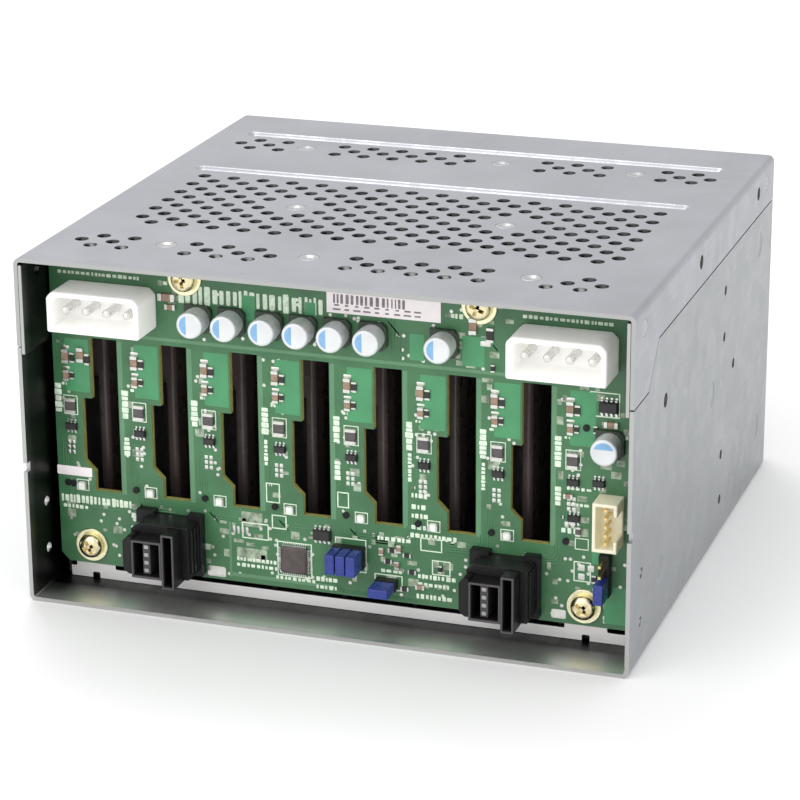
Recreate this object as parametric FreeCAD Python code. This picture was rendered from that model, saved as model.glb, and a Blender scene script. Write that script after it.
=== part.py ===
"""Hot swap drive cage: eight upright 2.5-inch bays in the space of two 5.25-inch bays.

Millimetres.  X runs across the bays, +Y points out of the side where the trays go in,
and +Z is up.  The origin is at the middle of the footprint, on the surface it stands on.
"""
import FreeCAD, Part
import math
import os

os.makedirs("parts", exist_ok=True)
Vec = FreeCAD.Vector

# ---- What the cage holds: 2.5-inch drives that stand on edge, side by side --------------
BAY_COUNT = 8
BAY_WIDTH = 17.5
DRIVE_THICKNESS = 7.0
DRIVE_LENGTH = 100.45
DRIVE_WIDTH = 69.85

# ---- Sheet metal case ------------------------------------------------------------------
SHEET = 1.0
BEND_RADIUS = 1.6             # outside radius of the folded corners
SEAM_GAP = 0.35               # open line between the cover's flange and the wall
WALL_LAP = 1.6                # height over which the set-in leaf and the wall are one
FLANGE_DROP = 11.3            # height of the cover's flange along most of its length
FLANGE_REAR_DROP = 21.2       # its height at the board end
FLANGE_REAR_LENGTH = 13.0     # length of that deeper part
FLANGE_SLOPE_LENGTH = 8.5     # length of the slope between the two heights
LEAF_CLEARANCE = 0.1          # from the top of the leaf to the round of the cover's fold

# Holes for fixing the cage in a 5.25-inch bay, on each side
BAY_SCREW_RADIUS = 1.25
BAY_SCREW_REAR = 9.5          # first column, from the board end
BAY_SCREW_SPACING = 79.25     # along the depth
BAY_SCREW_HEIGHTS = (10.0, 21.84)
BAY_SCREW_STEP = 42.3         # height of one 5.25-inch bay
PANEL_HOLE_RADIUS = 1.7
SMALL_HOLE_RADIUS = 1.3
PANEL_HOLES = ((29.0, 56.0, PANEL_HOLE_RADIUS), (100.0, 42.0, SMALL_HOLE_RADIUS))
FLANGE_HOLES = (61.5, 124.0)  # distance of each from the board end
FLANGE_HOLE_DROP = 5.5        # from the top of the case
EMBOSS_RADIUS = 3.5
EMBOSS_DEPTH = 0.25
WALL_EMBOSSES = ((76.5, 41.5), (127.0, 65.0), (130.0, 15.0), (27.0, 16.0))
EDGE_NOTCH_HEIGHT = 33.5
EDGE_NOTCH_DEPTH = 1.6
EDGE_NOTCH_WIDTH = 2.2

# ---- Guides ----------------------------------------------------------------------------
GUIDE_PLATE = 1.0
GUIDE_SIDE_GAP = 0.5          # from the outer ribs to the set-in leaves of the case
GUIDE_RIB_WIDTH = 1.0
GUIDE_RIB_HEIGHT = 4.0
GUIDE_START = 17.0            # from the board end of the case
GUIDE_END_GAP = 2.0           # from the front of the ribs to the trays' faces
GUIDE_BAR_WIDTH = 7.0
REAR_BAR_PLACE = 20.5         # from the board end of the case
MIDDLE_BAR_PLACE = 59.0
FRONT_BAR_SETBACK = 28.5      # from the tray end of the case
RIB_TAPER = 7.0
RIB_TIP_WIDTH = 0.5

# ---- Perforated cover ------------------------------------------------------------------
VENT_RADIUS = 1.65
VENT_PITCH = 7.8
MAIN_VENT_ROWS = 12
MAIN_VENT_COLUMNS = 15        # in each odd row; each even row has one more
MAIN_VENT_START = 36.9
EDGE_VENT_ROWS = 3
REAR_VENT_START = 15.0
REAR_VENT_SHIFT = 1.9
REAR_VENT_SPANS = ((-66.0, -51.0), (-38.5, -16.5), (1.0, 34.0), (48.0, 62.0))
FRONT_VENT_SHIFT = -3.5
FRONT_VENT_SPANS = ((-62.5, -48.0), (-36.0, 2.0), (19.0, 36.5), (50.0, 64.0))
MIDDLE_BEAD_PLACE = 87.0      # from the board end of the case
FRONT_BEAD_SETBACK = 18.5     # from the tray end of the case
BEAD_WIDTH = 4.6
BEAD_DEPTH = 0.5
BEAD_LENGTH = 124.0

# ---- Rivets ----------------------------------------------------------------------------
RIVET_BAY_COLUMNS = ((1, 3, 6), (2, 5), (1, 4, 6))   # bays with a rivet, for each guide bar
RIVET_HEAD_RADIUS = 2.4
RIVET_HEAD_DEPTH = 0.6
RIVET_SHANK_RADIUS = 1.2
RIVET_TAIL_RADIUS = 1.9
RIVET_TAIL_HEIGHT = 0.7
RIVET_CLEARANCE = 0.05
RIVET_KEEP_OUT = 6.2          # no vent is punched nearer to a rivet
COVER_RIVET_ENDS = (8.0, 9.0) # from the board end and from the tray end of the case
COVER_RIVET_DROP = 5.0        # from the top of the case

# ---- Backplane board -------------------------------------------------------------------
BOARD_SETBACK = 13.5          # from the case's rear edge to the board's face
BOARD_THICKNESS = 1.6
BOARD_SIDE_GAP = 0.4          # to the set-in leaves of the case
BOARD_BOTTOM = 5.5
BOARD_TOP_GAP = 1.5           # to the underside of the cover
BOARD_CORNER = 2.0
SLOT_WIDTH = 6.8
SLOT_BOTTOM = 24.3
SLOT_TOP_DROP = 19.7          # from the board's top edge
SLOT_SIDE = 1.75              # from a bay's right side to the slot in it
BULGE_DEPTH = 2.5
BULGE_BOTTOM = 31.5
BULGE_HEIGHT = 15.8
LOWER_SCREW_INSETS = (8.1, 11.6)      # from the board's left and right edges
LOWER_SCREW_RISE = 4.8        # from the board's bottom edge
UPPER_SCREW_INSETS = (34.1, 36.6)     # from the board's left and right edges
UPPER_SCREW_DROP = 3.0        # from the board's top edge
BOARD_HOLE_RADIUS = 1.7
SCREW_SHANK_RADIUS = 1.4
SCREW_HEAD_RADIUS = 3.0
SCREW_HEAD_HEIGHT = 1.9
SCREW_CROWN = 1.14            # radius round the top of the head
SCREW_RECESS_HALF = 1.8       # half the width of the cross
SCREW_RECESS_SLOT = 0.63      # width of each arm of the cross
SCREW_RECESS_DEPTH = 1.14
SCREW_TIP = 0.7               # length that comes through the tab
WASHER_RADIUS = 4.1
WASHER_THICKNESS = 0.5
TAB_WIDTH = 10.3
TAB_HOLE_RADIUS = 1.5
TAB_OVERLAP = 4.2             # tab beyond the centre of its screw
TAB_NOTCH_WIDTH = 1.6
TAB_NOTCH_HEIGHT = 1.4
LIP_HEIGHT = 2.8
LIP_HALF_LENGTH = 69.0

# ---- Connectors on the board's rear face -----------------------------------------------
POWER_INSETS = (15.3, 16.1)   # from the board's left and right edges
POWER_DROP = 10.7             # from the board's top edge
POWER_WIDTH = 22.9
POWER_HEIGHT = 9.8
POWER_LENGTH = 10.6
POWER_WALL = 1.3
POWER_FLOOR = 2.0
POWER_CHAMFER = 1.4
POWER_PINS = 4
POWER_PIN_PITCH = 5.08
POWER_PIN_RADIUS = 1.05
POWER_PIN_RECESS = 1.8

SAS_INSETS = (29.1, 29.9)     # from the board's left and right edges
SAS_RISE = 8.7                # from the board's bottom edge
SAS_WIDTH = 10.4
SAS_HEIGHT = 11.4
SAS_LENGTH = 13.0
SAS_WALL = 0.9
SAS_CAVITY = 9.0
SAS_TONGUE = 2.0
SAS_DIVIDER = 0.8
SAS_WING = 2.0
SAS_WING_SETBACK = 4.5
SAS_WING_HEIGHT = 13.0
SAS_BASE_WIDTH = 16.4
SAS_BASE_HEIGHT = 15.2
SAS_BASE_THICKNESS = 2.6
SAS_CONTACTS = 6
SAS_CONTACT_SIZE = 0.75
SAS_CONTACT_PITCH = 1.4
SAS_CONTACT_HEIGHT = 0.15

DRIVE_PLUG_SHIFT = 4.25       # from a bay's left side to the middle of its receptacle
DRIVE_PLUG_WIDTH = 4.2
DRIVE_PLUG_LENGTH = 33.0
DRIVE_PLUG_REACH = 8.4
DRIVE_PLUG_GAP = 0.8          # to the drive's rear face
DRIVE_PLUG_CENTRE = 32.9
DRIVE_PLUG_WALL = 1.1
DRIVE_PLUG_CAVITY = 5.0

CAPACITOR_ROW_DROP = 12.2     # from the board's top edge
CAPACITOR_ROW = (-33.2, -25.0, -15.8, -7.6, 0.6, 9.2, 26.0)
LONE_CAPACITOR_INSET = 6.1    # from the board's right edge
LONE_CAPACITOR_RISE = 44.5    # from the board's bottom edge
CAPACITOR_RADIUS = 3.15
CAPACITOR_BASE = 6.6
CAPACITOR_BASE_HEIGHT = 1.2
CAPACITOR_HEIGHT = 5.2
CAPACITOR_EDGE = 0.4

SIGNAL_INSET = 5.6            # from the board's right edge
SIGNAL_RISE = 26.7            # from the board's bottom edge
SIGNAL_WIDTH = 5.7
SIGNAL_LENGTH = 11.6
SIGNAL_HEIGHT = 6.4
SIGNAL_WALL = 0.8
SIGNAL_FLOOR = 1.4
SIGNAL_PINS = 5
PIN_PITCH = 2.0
PIN_HALF = 0.32
PIN_HEIGHT = 5.6

JUMPER_PITCH = 2.54
JUMPER_BASE = 2.4
JUMPER_PIN_HEIGHT = 6.4
SHUNT_HEIGHT = 5.2
SHUNT_WIDTH = 2.3
SHUNT_LENGTH = 4.9
JUMPER_PLACES = ((2.9, 15.8), (12.0, 10.0))
EDGE_JUMPER_INSET = 6.6       # from the board's right edge
EDGE_JUMPER_RISE = 13.5       # from the board's bottom edge
JUMPER_PIN_COUNTS = ((3, 2), (2, 1), (1, 4))         # pins across and up, for each block
SHUNT_COUNTS = (3, 1, 1)      # shunts on each block

CONTROLLER_PLACE = (-10.9, 12.8)
CONTROLLER_SIZE = 7.0
CONTROLLER_HEIGHT = 1.0
LOGIC_SIZE = (2.9, 1.6, 1.1)
LOGIC_HEIGHT_ON_BOARD = 40.0
RESISTOR_SIZE = (3.2, 1.6, 0.6)
RESISTOR_HEIGHTS = (52.6, 57.6)
CERAMIC_SIZE = (3.2, 1.6, 1.0)
CERAMIC_HEIGHT_ON_BOARD = 45.0
LED_SIZE = (2.0, 1.6, 1.1)
LED_HEIGHT_ON_BOARD = 25.3
PART_COLUMN_SHIFT = 3.4       # from a bay's left side to its column of small parts
LED_COLUMN_SHIFT = 5.7
LABEL_LENGTH = 27.0
LABEL_SCREW_GAP = 9.0         # from the label to the middle of the screw beside it
LABEL_DROPS = (7.7, 2.0)      # from the board's top edge
LABEL_THICKNESS = 0.15

# ---- Trays -----------------------------------------------------------------------------
TRAY_SIDE_GAP = 0.25          # from a rail to the guide ribs
TRAY_RUNNING_GAP = 0.3        # from a rail to the guide plate
RAIL_START = 25.5             # from the board end of the case
RAIL_HEIGHT = 4.8
RAIL_WALL = 1.2
FACE_SIDE_GAP = 0.4           # from a tray's face to the middle of the gap beside it
FACE_DEPTH = 21.0
FACE_REACH = 6.0              # stands out of the case by this much
FACE_GAP = 0.7                # to the floor and to the cover
FACE_WALL = 1.35
RECESS_LEDGE = 2.5            # from the face's bottom edge to the lever's recess
RECESS_DEPTH = 9.6
RECESS_BACK = 1.5
TRAY_VENT_HEIGHT = 3.4
TRAY_VENT_PITCH = 6.4
TRAY_VENT_START = 12.5
DRIVE_SHIFT = 1.25            # from a bay's left side to the drive
DRIVE_RAIL_GAP = 0.225        # from the drive to each rail
DRIVE_FRONT_GAP = 2.25        # from the drive to the tray's face
DRIVE_EDGE = 1.2
DRIVE_POCKET_DEPTH = 1.6
DRIVE_POCKETS = 3
DRIVE_FRAME = 6.0

# ---- Levers and release buttons --------------------------------------------------------
PIVOT_SETBACK = 4.9           # from the tray's front face to the lever's axis
PIVOT_BOSS = 4.0
PIVOT_BOSS_GAP = 0.5          # from the boss to the bottom of the recess
PIVOT_RADIUS = 1.2
PIVOT_CLEARANCE = 0.06
PIVOT_END_GAP = 0.15
LEVER_SIDE_GAP = 0.35
LEVER_TOP_GAP = 0.6
LEVER_PLATE = 2.2
LEVER_RIB_DEPTH = 4.4
LEVER_RIB_WIDTH = 1.4
LEVER_SLOT_HEIGHT = 3.6
LEVER_SLOT_PITCH = 6.4
LEVER_SLOT_START = 15.0
BUTTON_SHOULDER = 1.6         # from the inside of the face's side walls to the button
BUTTON_HEIGHT = 6.7
BUTTON_TOP_EDGE = 2.2         # from the face's top edge to the button
BUTTON_LEDGE = 1.7            # between the button and the lever's recess
BUTTON_DISH_RADIUS = 20.8
BUTTON_DISH_DEPTH = 0.6
BUTTON_GAP = 0.25
BUTTON_PROUD = 1.0
BUTTON_TRAVEL = 1.5
BUTTON_DEPTH = 8.0
BUTTON_FLOOR_GAP = 0.5
BUTTON_FRONT_WALL = 3.0

# ---- Places that follow from the sizes above -------------------------------------------
DRIVE_START = BOARD_SETBACK + BOARD_THICKNESS + DRIVE_PLUG_REACH + DRIVE_PLUG_GAP
CASE_WIDTH = BAY_COUNT * BAY_WIDTH + GUIDE_RIB_WIDTH + 2 * (GUIDE_SIDE_GAP + 2 * SHEET)
CASE_HEIGHT = DRIVE_WIDTH + 2 * (DRIVE_RAIL_GAP + RAIL_HEIGHT + TRAY_RUNNING_GAP + GUIDE_PLATE + SHEET)
CASE_DEPTH = DRIVE_START + DRIVE_LENGTH + DRIVE_FRONT_GAP + FACE_DEPTH - FACE_REACH
OVERALL_DEPTH = CASE_DEPTH + FACE_REACH + BUTTON_PROUD
REAR = -OVERALL_DEPTH / 2
FRONT = REAR + CASE_DEPTH
HALF_WIDTH = CASE_WIDTH / 2
CEILING = CASE_HEIGHT - SHEET
MID_HEIGHT = CASE_HEIGHT / 2
BAYS_LEFT = -BAY_COUNT * BAY_WIDTH / 2
BOARD_FACE = REAR + BOARD_SETBACK
BOARD_BACK = BOARD_FACE + BOARD_THICKNESS
BOARD_HALF_WIDTH = HALF_WIDTH - 2 * SHEET - BOARD_SIDE_GAP
BOARD_TOP = CEILING - BOARD_TOP_GAP
LOWER_SCREW_HEIGHT = BOARD_BOTTOM + LOWER_SCREW_RISE
UPPER_SCREW_HEIGHT = BOARD_TOP - UPPER_SCREW_DROP
LOWER_SCREWS = ((LOWER_SCREW_INSETS[0] - BOARD_HALF_WIDTH, LOWER_SCREW_HEIGHT),
                (BOARD_HALF_WIDTH - LOWER_SCREW_INSETS[1], LOWER_SCREW_HEIGHT))
UPPER_SCREWS = ((UPPER_SCREW_INSETS[0] - BOARD_HALF_WIDTH, UPPER_SCREW_HEIGHT),
                (BOARD_HALF_WIDTH - UPPER_SCREW_INSETS[1], UPPER_SCREW_HEIGHT))
BOARD_SCREWS = LOWER_SCREWS + UPPER_SCREWS
POWER_PLACES = {"left": (POWER_INSETS[0] - BOARD_HALF_WIDTH, BOARD_TOP - POWER_DROP),
                "right": (BOARD_HALF_WIDTH - POWER_INSETS[1], BOARD_TOP - POWER_DROP)}
SAS_SOCKETS = {"left": (SAS_INSETS[0] - BOARD_HALF_WIDTH, BOARD_BOTTOM + SAS_RISE),
               "right": (BOARD_HALF_WIDTH - SAS_INSETS[1], BOARD_BOTTOM + SAS_RISE)}
SIGNAL_PLACE = (BOARD_HALF_WIDTH - SIGNAL_INSET, BOARD_BOTTOM + SIGNAL_RISE)
EDGE_JUMPER_PLACE = (BOARD_HALF_WIDTH - EDGE_JUMPER_INSET, BOARD_BOTTOM + EDGE_JUMPER_RISE)
JUMPER_BLOCKS = JUMPER_PLACES + (EDGE_JUMPER_PLACE,)
GUIDE_BAR_PLACES = (REAR_BAR_PLACE, MIDDLE_BAR_PLACE, CASE_DEPTH - FRONT_BAR_SETBACK)
BEAD_PLACES = (MIDDLE_BEAD_PLACE, CASE_DEPTH - FRONT_BEAD_SETBACK)
COVER_RIVET_PLACES = (COVER_RIVET_ENDS[0], CASE_DEPTH - COVER_RIVET_ENDS[1])
TRAY_HALF_WIDTH = (BAY_WIDTH - GUIDE_RIB_WIDTH) / 2 - TRAY_SIDE_GAP
FACE_HALF_WIDTH = BAY_WIDTH / 2 - FACE_SIDE_GAP
FACE_FRONT = FRONT + FACE_REACH
FACE_BACK = FACE_FRONT - FACE_DEPTH
FACE_BOTTOM = SHEET + FACE_GAP
FACE_TOP = CEILING - FACE_GAP
BUTTON_HALF_WIDTH = FACE_HALF_WIDTH - FACE_WALL - BUTTON_SHOULDER
BUTTON_TOP = FACE_TOP - BUTTON_TOP_EDGE
BUTTON_BOTTOM = BUTTON_TOP - BUTTON_HEIGHT
RECESS_FLOOR = FACE_FRONT - RECESS_DEPTH
RECESS_BOTTOM = FACE_BOTTOM + RECESS_LEDGE
RECESS_TOP = BUTTON_BOTTOM - BUTTON_LEDGE
PIVOT_Y = FACE_FRONT - PIVOT_SETBACK
PIVOT_HEIGHT = RECESS_BOTTOM + PIVOT_BOSS_GAP + PIVOT_BOSS
RAIL_BOTTOM = SHEET + GUIDE_PLATE + TRAY_RUNNING_GAP


def bay_left(bay):
    """Return the X of the left side of a bay."""
    return BAYS_LEFT + bay * BAY_WIDTH


def bay_middle(bay):
    """Return the X of the middle of a bay."""
    return bay_left(bay) + BAY_WIDTH / 2


# ---- Small geometry helpers ------------------------------------------------------------
NEAR = 0.01                   # two places nearer than this are taken as one


def block(x, y, z):
    """Return a box from three (low, high) pairs."""
    corner = Vec(x[0], y[0], z[0])
    return Part.makeBox(x[1] - x[0], y[1] - y[0], z[1] - z[0], corner)


def around(centre, size):
    """Return the (low, high) pair of a span of this size about its centre."""
    return (centre - size / 2, centre + size / 2)


def rod(radius, start, end):
    """Return a cylinder from one point to another."""
    return Part.makeCylinder(radius, (end - start).Length, start, end - start)


def prism_x(points, x):
    """Return the prism over a (y, z) outline between two X."""
    corners = [Vec(x[0], y, z) for y, z in points]
    face = Part.Face(Part.makePolygon(corners + corners[:1]))
    return face.extrude(Vec(x[1] - x[0], 0, 0))


def prism_y(points, y):
    """Return the prism over an (x, z) outline between two Y."""
    corners = [Vec(x, y[0], z) for x, z in points]
    face = Part.Face(Part.makePolygon(corners + corners[:1]))
    return face.extrude(Vec(0, y[1] - y[0], 0))


def prism_z(points, z):
    """Return the prism over an (x, y) outline between two heights."""
    corners = [Vec(x, y, z[0]) for x, y in points]
    face = Part.Face(Part.makePolygon(corners + corners[:1]))
    return face.extrude(Vec(0, 0, z[1] - z[0]))


def join(shapes):
    """Return one solid made of shapes that touch."""
    return shapes[0].multiFuse(shapes[1:]).removeSplitter()


def mirrored(shape):
    """Return the shape's other hand, on the other side of the YZ plane."""
    return shape.mirror(Vec(0, 0, 0), Vec(1, 0, 0))


def upside_down(shape):
    """Return the shape mirrored about the middle of the case's height."""
    return shape.mirror(Vec(0, 0, MID_HEIGHT), Vec(0, 0, 1))


def edges_along(shape, direction, test):
    """Return the straight edges that run along a direction and pass a test."""
    found = []
    for edge in shape.Edges:
        if len(edge.Vertexes) != 2:
            continue
        run = edge.Vertexes[1].Point - edge.Vertexes[0].Point
        if run.Length > 0 and abs(run.normalize().dot(direction)) > 0.999 and test(edge.CenterOfMass):
            found.append(edge)
    return found


def on_board(place, size):
    """Return a flat part of (width, height, thickness) on the board's rear face."""
    width, height, thickness = size
    return block(around(place[0], width), (BOARD_FACE - thickness, BOARD_FACE), around(place[1], height))


def save(name, shapes):
    """Write one sub-part; a list of shapes is a group of separate solids."""
    shape = Part.makeCompound(shapes) if isinstance(shapes, list) else shapes
    assert shape.isValid(), name
    shape.exportStep("parts/" + name + ".step")
    print(f"{name}: {len(shape.Solids)} solid(s), {shape.Volume:.0f} mm3")


# ---- Case ------------------------------------------------------------------------------
def seam_height(drop):
    """Return the Z of the cover flange's lower edge for one of its two heights."""
    return CASE_HEIGHT - drop


def seam_line(shift):
    """Return the (y, z) corners of the seam, moved up by shift, past both ends."""
    low = seam_height(FLANGE_REAR_DROP) + shift
    high = seam_height(FLANGE_DROP) + shift
    step = REAR + FLANGE_REAR_LENGTH
    past = SHEET
    return [(REAR - past, low), (step, low), (step + FLANGE_SLOPE_LENGTH, high), (FRONT + past, high)]


def below_seam(shift, x):
    """Return a solid that fills everything under the seam."""
    line = seam_line(shift)
    return prism_x(line + [(line[-1][0], -SHEET), (line[0][0], -SHEET)], x)


def above_seam(shift, x):
    """Return a solid that fills everything over the seam."""
    line = seam_line(shift)
    top = CASE_HEIGHT + SHEET
    return prism_x(line + [(line[-1][0], top), (line[0][0], top)], x)


def folded_shell(at_top):
    """Return a folded sheet of three sides, open at the bottom or at the top."""
    fold = CASE_HEIGHT if at_top else 0.0
    outer = block((-HALF_WIDTH, HALF_WIDTH), (REAR, FRONT), (0, CASE_HEIGHT))
    inner_z = (-SHEET, CEILING) if at_top else (SHEET, CASE_HEIGHT + SHEET)
    inner_fold = CEILING if at_top else SHEET
    inner = block((-HALF_WIDTH + SHEET, HALF_WIDTH - SHEET), (REAR - SHEET, FRONT + SHEET), inner_z)
    along = Vec(0, 1, 0)
    outer = outer.makeFillet(BEND_RADIUS, edges_along(outer, along, lambda c: abs(c.z - fold) < NEAR))
    inner_radius = BEND_RADIUS - SHEET
    inner = inner.makeFillet(inner_radius, edges_along(inner, along, lambda c: abs(c.z - inner_fold) < NEAR))
    return outer.cut(inner)


def side_hole(distance, height, radius):
    """Return the cutter of a round hole through both side walls."""
    start = Vec(-HALF_WIDTH - SHEET, REAR + distance, height)
    return rod(radius, start, Vec(HALF_WIDTH + SHEET, REAR + distance, height))


def side_emboss(distance, height):
    """Return the cutters of a shallow round emboss on both side walls."""
    centre = Vec(HALF_WIDTH - EMBOSS_DEPTH, REAR + distance, height)
    right = rod(EMBOSS_RADIUS, centre, centre + Vec(SHEET, 0, 0))
    return [right, mirrored(right)]


def bay_screw_holes():
    """Return the cutters of the screw holes for two 5.25-inch bays."""
    front_column = BAY_SCREW_REAR + BAY_SCREW_SPACING
    cutters = []
    for height in BAY_SCREW_HEIGHTS:
        cutters.append(side_hole(BAY_SCREW_REAR, height, BAY_SCREW_RADIUS))
        cutters.append(side_hole(front_column, height, BAY_SCREW_RADIUS))
        cutters.append(side_hole(front_column, height + BAY_SCREW_STEP, BAY_SCREW_RADIUS))
    return cutters


def board_tab(place, z):
    """Return a sheet tab behind the board, with the hole for its screw."""
    tab = block(around(place[0], TAB_WIDTH), (BOARD_BACK, BOARD_BACK + SHEET), z)
    centre = Vec(place[0], BOARD_BACK - SHEET, place[1])
    return tab.cut(rod(TAB_HOLE_RADIUS, centre, centre + Vec(0, 3 * SHEET, 0)))


def make_chassis():
    """Floor, side walls with their set-in upper leaves, and the lip that carries the board."""
    body = folded_shell(at_top=False).cut(above_seam(-SEAM_GAP, (-CASE_WIDTH, CASE_WIDTH)))
    leaf_top = CEILING - (BEND_RADIUS - SHEET) - LEAF_CLEARANCE
    leaf = block((HALF_WIDTH - 2 * SHEET, HALF_WIDTH - SHEET), (REAR, FRONT), (0, leaf_top))
    leaf = leaf.cut(below_seam(-SEAM_GAP - WALL_LAP, (0, CASE_WIDTH)))
    pieces = [body, leaf, mirrored(leaf)]
    lip_y = (BOARD_BACK, BOARD_BACK + SHEET)
    pieces.append(block((-LIP_HALF_LENGTH, LIP_HALF_LENGTH), lip_y, (SHEET, SHEET + LIP_HEIGHT)))
    for place in LOWER_SCREWS:
        pieces.append(board_tab(place, (SHEET, place[1] + TAB_OVERLAP)))
    body = join(pieces)
    cutters = bay_screw_holes() + flange_holes() + cover_rivet_holes()
    for distance, height, radius in PANEL_HOLES:
        cutters.append(side_hole(distance, height, radius))
    for distance, height in WALL_EMBOSSES:
        cutters += side_emboss(distance, height)
    notch_y = (REAR - SHEET, REAR + EDGE_NOTCH_DEPTH)
    cutters.append(block((-CASE_WIDTH, CASE_WIDTH), notch_y, around(EDGE_NOTCH_HEIGHT, EDGE_NOTCH_WIDTH)))
    for place in LOWER_SCREWS:
        cutters.append(block(around(place[0], TAB_NOTCH_WIDTH), lip_y, (SHEET, SHEET + TAB_NOTCH_HEIGHT)))
    cutters += [upside_down(cutter) for cutter in guide_rivet_holes()]
    return body.cut(Part.makeCompound(cutters))


def flange_holes():
    """Return the cutters of the open holes through the cover's flanges and the leaves."""
    height = CASE_HEIGHT - FLANGE_HOLE_DROP
    return [side_hole(distance, height, PANEL_HOLE_RADIUS) for distance in FLANGE_HOLES]


# ---- Cover -----------------------------------------------------------------------------
def vent_spots():
    """Return the (x, distance from the board end) of each round vent in the cover."""
    spots = []
    half_pitch = VENT_PITCH / 2
    for row in range(MAIN_VENT_ROWS):
        count = MAIN_VENT_COLUMNS + row % 2
        for column in range(count):
            x = (column - (count - 1) / 2) * VENT_PITCH
            spots.append((x, MAIN_VENT_START + row * half_pitch))
    groups = [(REAR_VENT_START, REAR_VENT_SHIFT, REAR_VENT_SPANS)]
    groups.append((GUIDE_BAR_PLACES[-1] - half_pitch, FRONT_VENT_SHIFT, FRONT_VENT_SPANS))
    for start, shift, spans in groups:
        for row in range(EDGE_VENT_ROWS):
            for column in range(-MAIN_VENT_COLUMNS, MAIN_VENT_COLUMNS):
                x = shift + column * VENT_PITCH + (row % 2) * half_pitch
                if any(low <= x <= high for low, high in spans):
                    spots.append((x, start + row * half_pitch))
    return [spot for spot in spots if clear_of_rivets(spot)]


def clear_of_rivets(spot):
    """Tell whether a vent at this spot leaves room for the rivets around it."""
    return all(math.dist(spot, place) > RIVET_KEEP_OUT for place in guide_rivet_spots())


def bead(distance):
    """Return the cutter of one long pressed bead with round ends."""
    half = BEAD_LENGTH / 2
    radius = BEAD_WIDTH / 2
    low = CASE_HEIGHT - BEAD_DEPTH
    y = REAR + distance
    shape = block((-half, half), around(y, BEAD_WIDTH), (low, CASE_HEIGHT + SHEET))
    ends = [rod(radius, Vec(x, y, low), Vec(x, y, CASE_HEIGHT + SHEET)) for x in (-half, half)]
    return join([shape] + ends)


def make_cover():
    """Perforated top with two beads, two side flanges and two tabs for the board."""
    body = folded_shell(at_top=True).cut(below_seam(0, (-CASE_WIDTH, CASE_WIDTH)))
    tabs = [board_tab(place, (place[1] - TAB_OVERLAP, CEILING)) for place in UPPER_SCREWS]
    body = join([body] + tabs)
    cutters = [bead(distance) for distance in BEAD_PLACES]
    for x, distance in vent_spots():
        low = Vec(x, REAR + distance, CEILING - SHEET)
        cutters.append(rod(VENT_RADIUS, low, low + Vec(0, 0, 3 * SHEET)))
    cutters += guide_rivet_holes() + flange_holes() + cover_rivet_holes()
    return body.cut(Part.makeCompound(cutters))


# ---- Guides and rivets -----------------------------------------------------------------
def make_upper_guides():
    """Ribs that part the bays, tied by flat bars that lie under the cover."""
    y_start = REAR + GUIDE_START
    y_end = FACE_BACK - GUIDE_END_GAP
    root = GUIDE_RIB_WIDTH / 2
    tip = RIB_TIP_WIDTH / 2
    z = (CEILING - GUIDE_RIB_HEIGHT, CEILING)
    pieces = []
    for side in range(BAY_COUNT + 1):
        x = bay_left(side)
        outline = [(x - root, y_start), (x + root, y_start), (x + root, y_end - RIB_TAPER)]
        outline += [(x + tip, y_end), (x - tip, y_end), (x - root, y_end - RIB_TAPER)]
        pieces.append(prism_z(outline, z))
    span = (bay_left(0) - root, bay_left(BAY_COUNT) + root)
    for place in GUIDE_BAR_PLACES:
        pieces.append(block(span, around(REAR + place, GUIDE_BAR_WIDTH), (CEILING - GUIDE_PLATE, CEILING)))
    frame = join(pieces)
    holes = []
    for x, distance in guide_rivet_spots():
        low = Vec(x, REAR + distance, CEILING - 2 * GUIDE_PLATE)
        holes.append(rod(RIVET_SHANK_RADIUS + RIVET_CLEARANCE, low, low + Vec(0, 0, 3 * GUIDE_PLATE)))
    return frame.cut(Part.makeCompound(holes))


def guide_rivet_spots():
    """Return the (x, distance from the board end) of each guide rivet."""
    spots = []
    for place, bays in zip(GUIDE_BAR_PLACES, RIVET_BAY_COLUMNS):
        spots += [(bay_middle(bay), place) for bay in bays]
    return spots


def guide_rivet_holes():
    """Return the cutters in the cover: a sunk seat for each head and a hole for its shank."""
    cutters = []
    for x, distance in guide_rivet_spots():
        y = REAR + distance
        above = Vec(x, y, CASE_HEIGHT + SHEET)
        seat = Vec(x, y, CASE_HEIGHT - RIVET_HEAD_DEPTH)
        cutters.append(rod(RIVET_HEAD_RADIUS + RIVET_CLEARANCE, seat, above))
        cutters.append(rod(RIVET_SHANK_RADIUS + RIVET_CLEARANCE, Vec(x, y, CEILING - SHEET), above))
    return cutters


def make_guide_rivets():
    """Flush rivets through the cover and the floor into the guide bars."""
    rivets = []
    bar_face = CEILING - GUIDE_PLATE
    for x, distance in guide_rivet_spots():
        y = REAR + distance
        head = rod(RIVET_HEAD_RADIUS, Vec(x, y, CASE_HEIGHT - RIVET_HEAD_DEPTH), Vec(x, y, CASE_HEIGHT))
        shank = rod(RIVET_SHANK_RADIUS, Vec(x, y, bar_face), Vec(x, y, CASE_HEIGHT))
        tail = rod(RIVET_TAIL_RADIUS, Vec(x, y, bar_face - RIVET_TAIL_HEIGHT), Vec(x, y, bar_face))
        rivets.append(join([head, shank, tail]))
    return rivets + [upside_down(rivet) for rivet in rivets]


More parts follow.
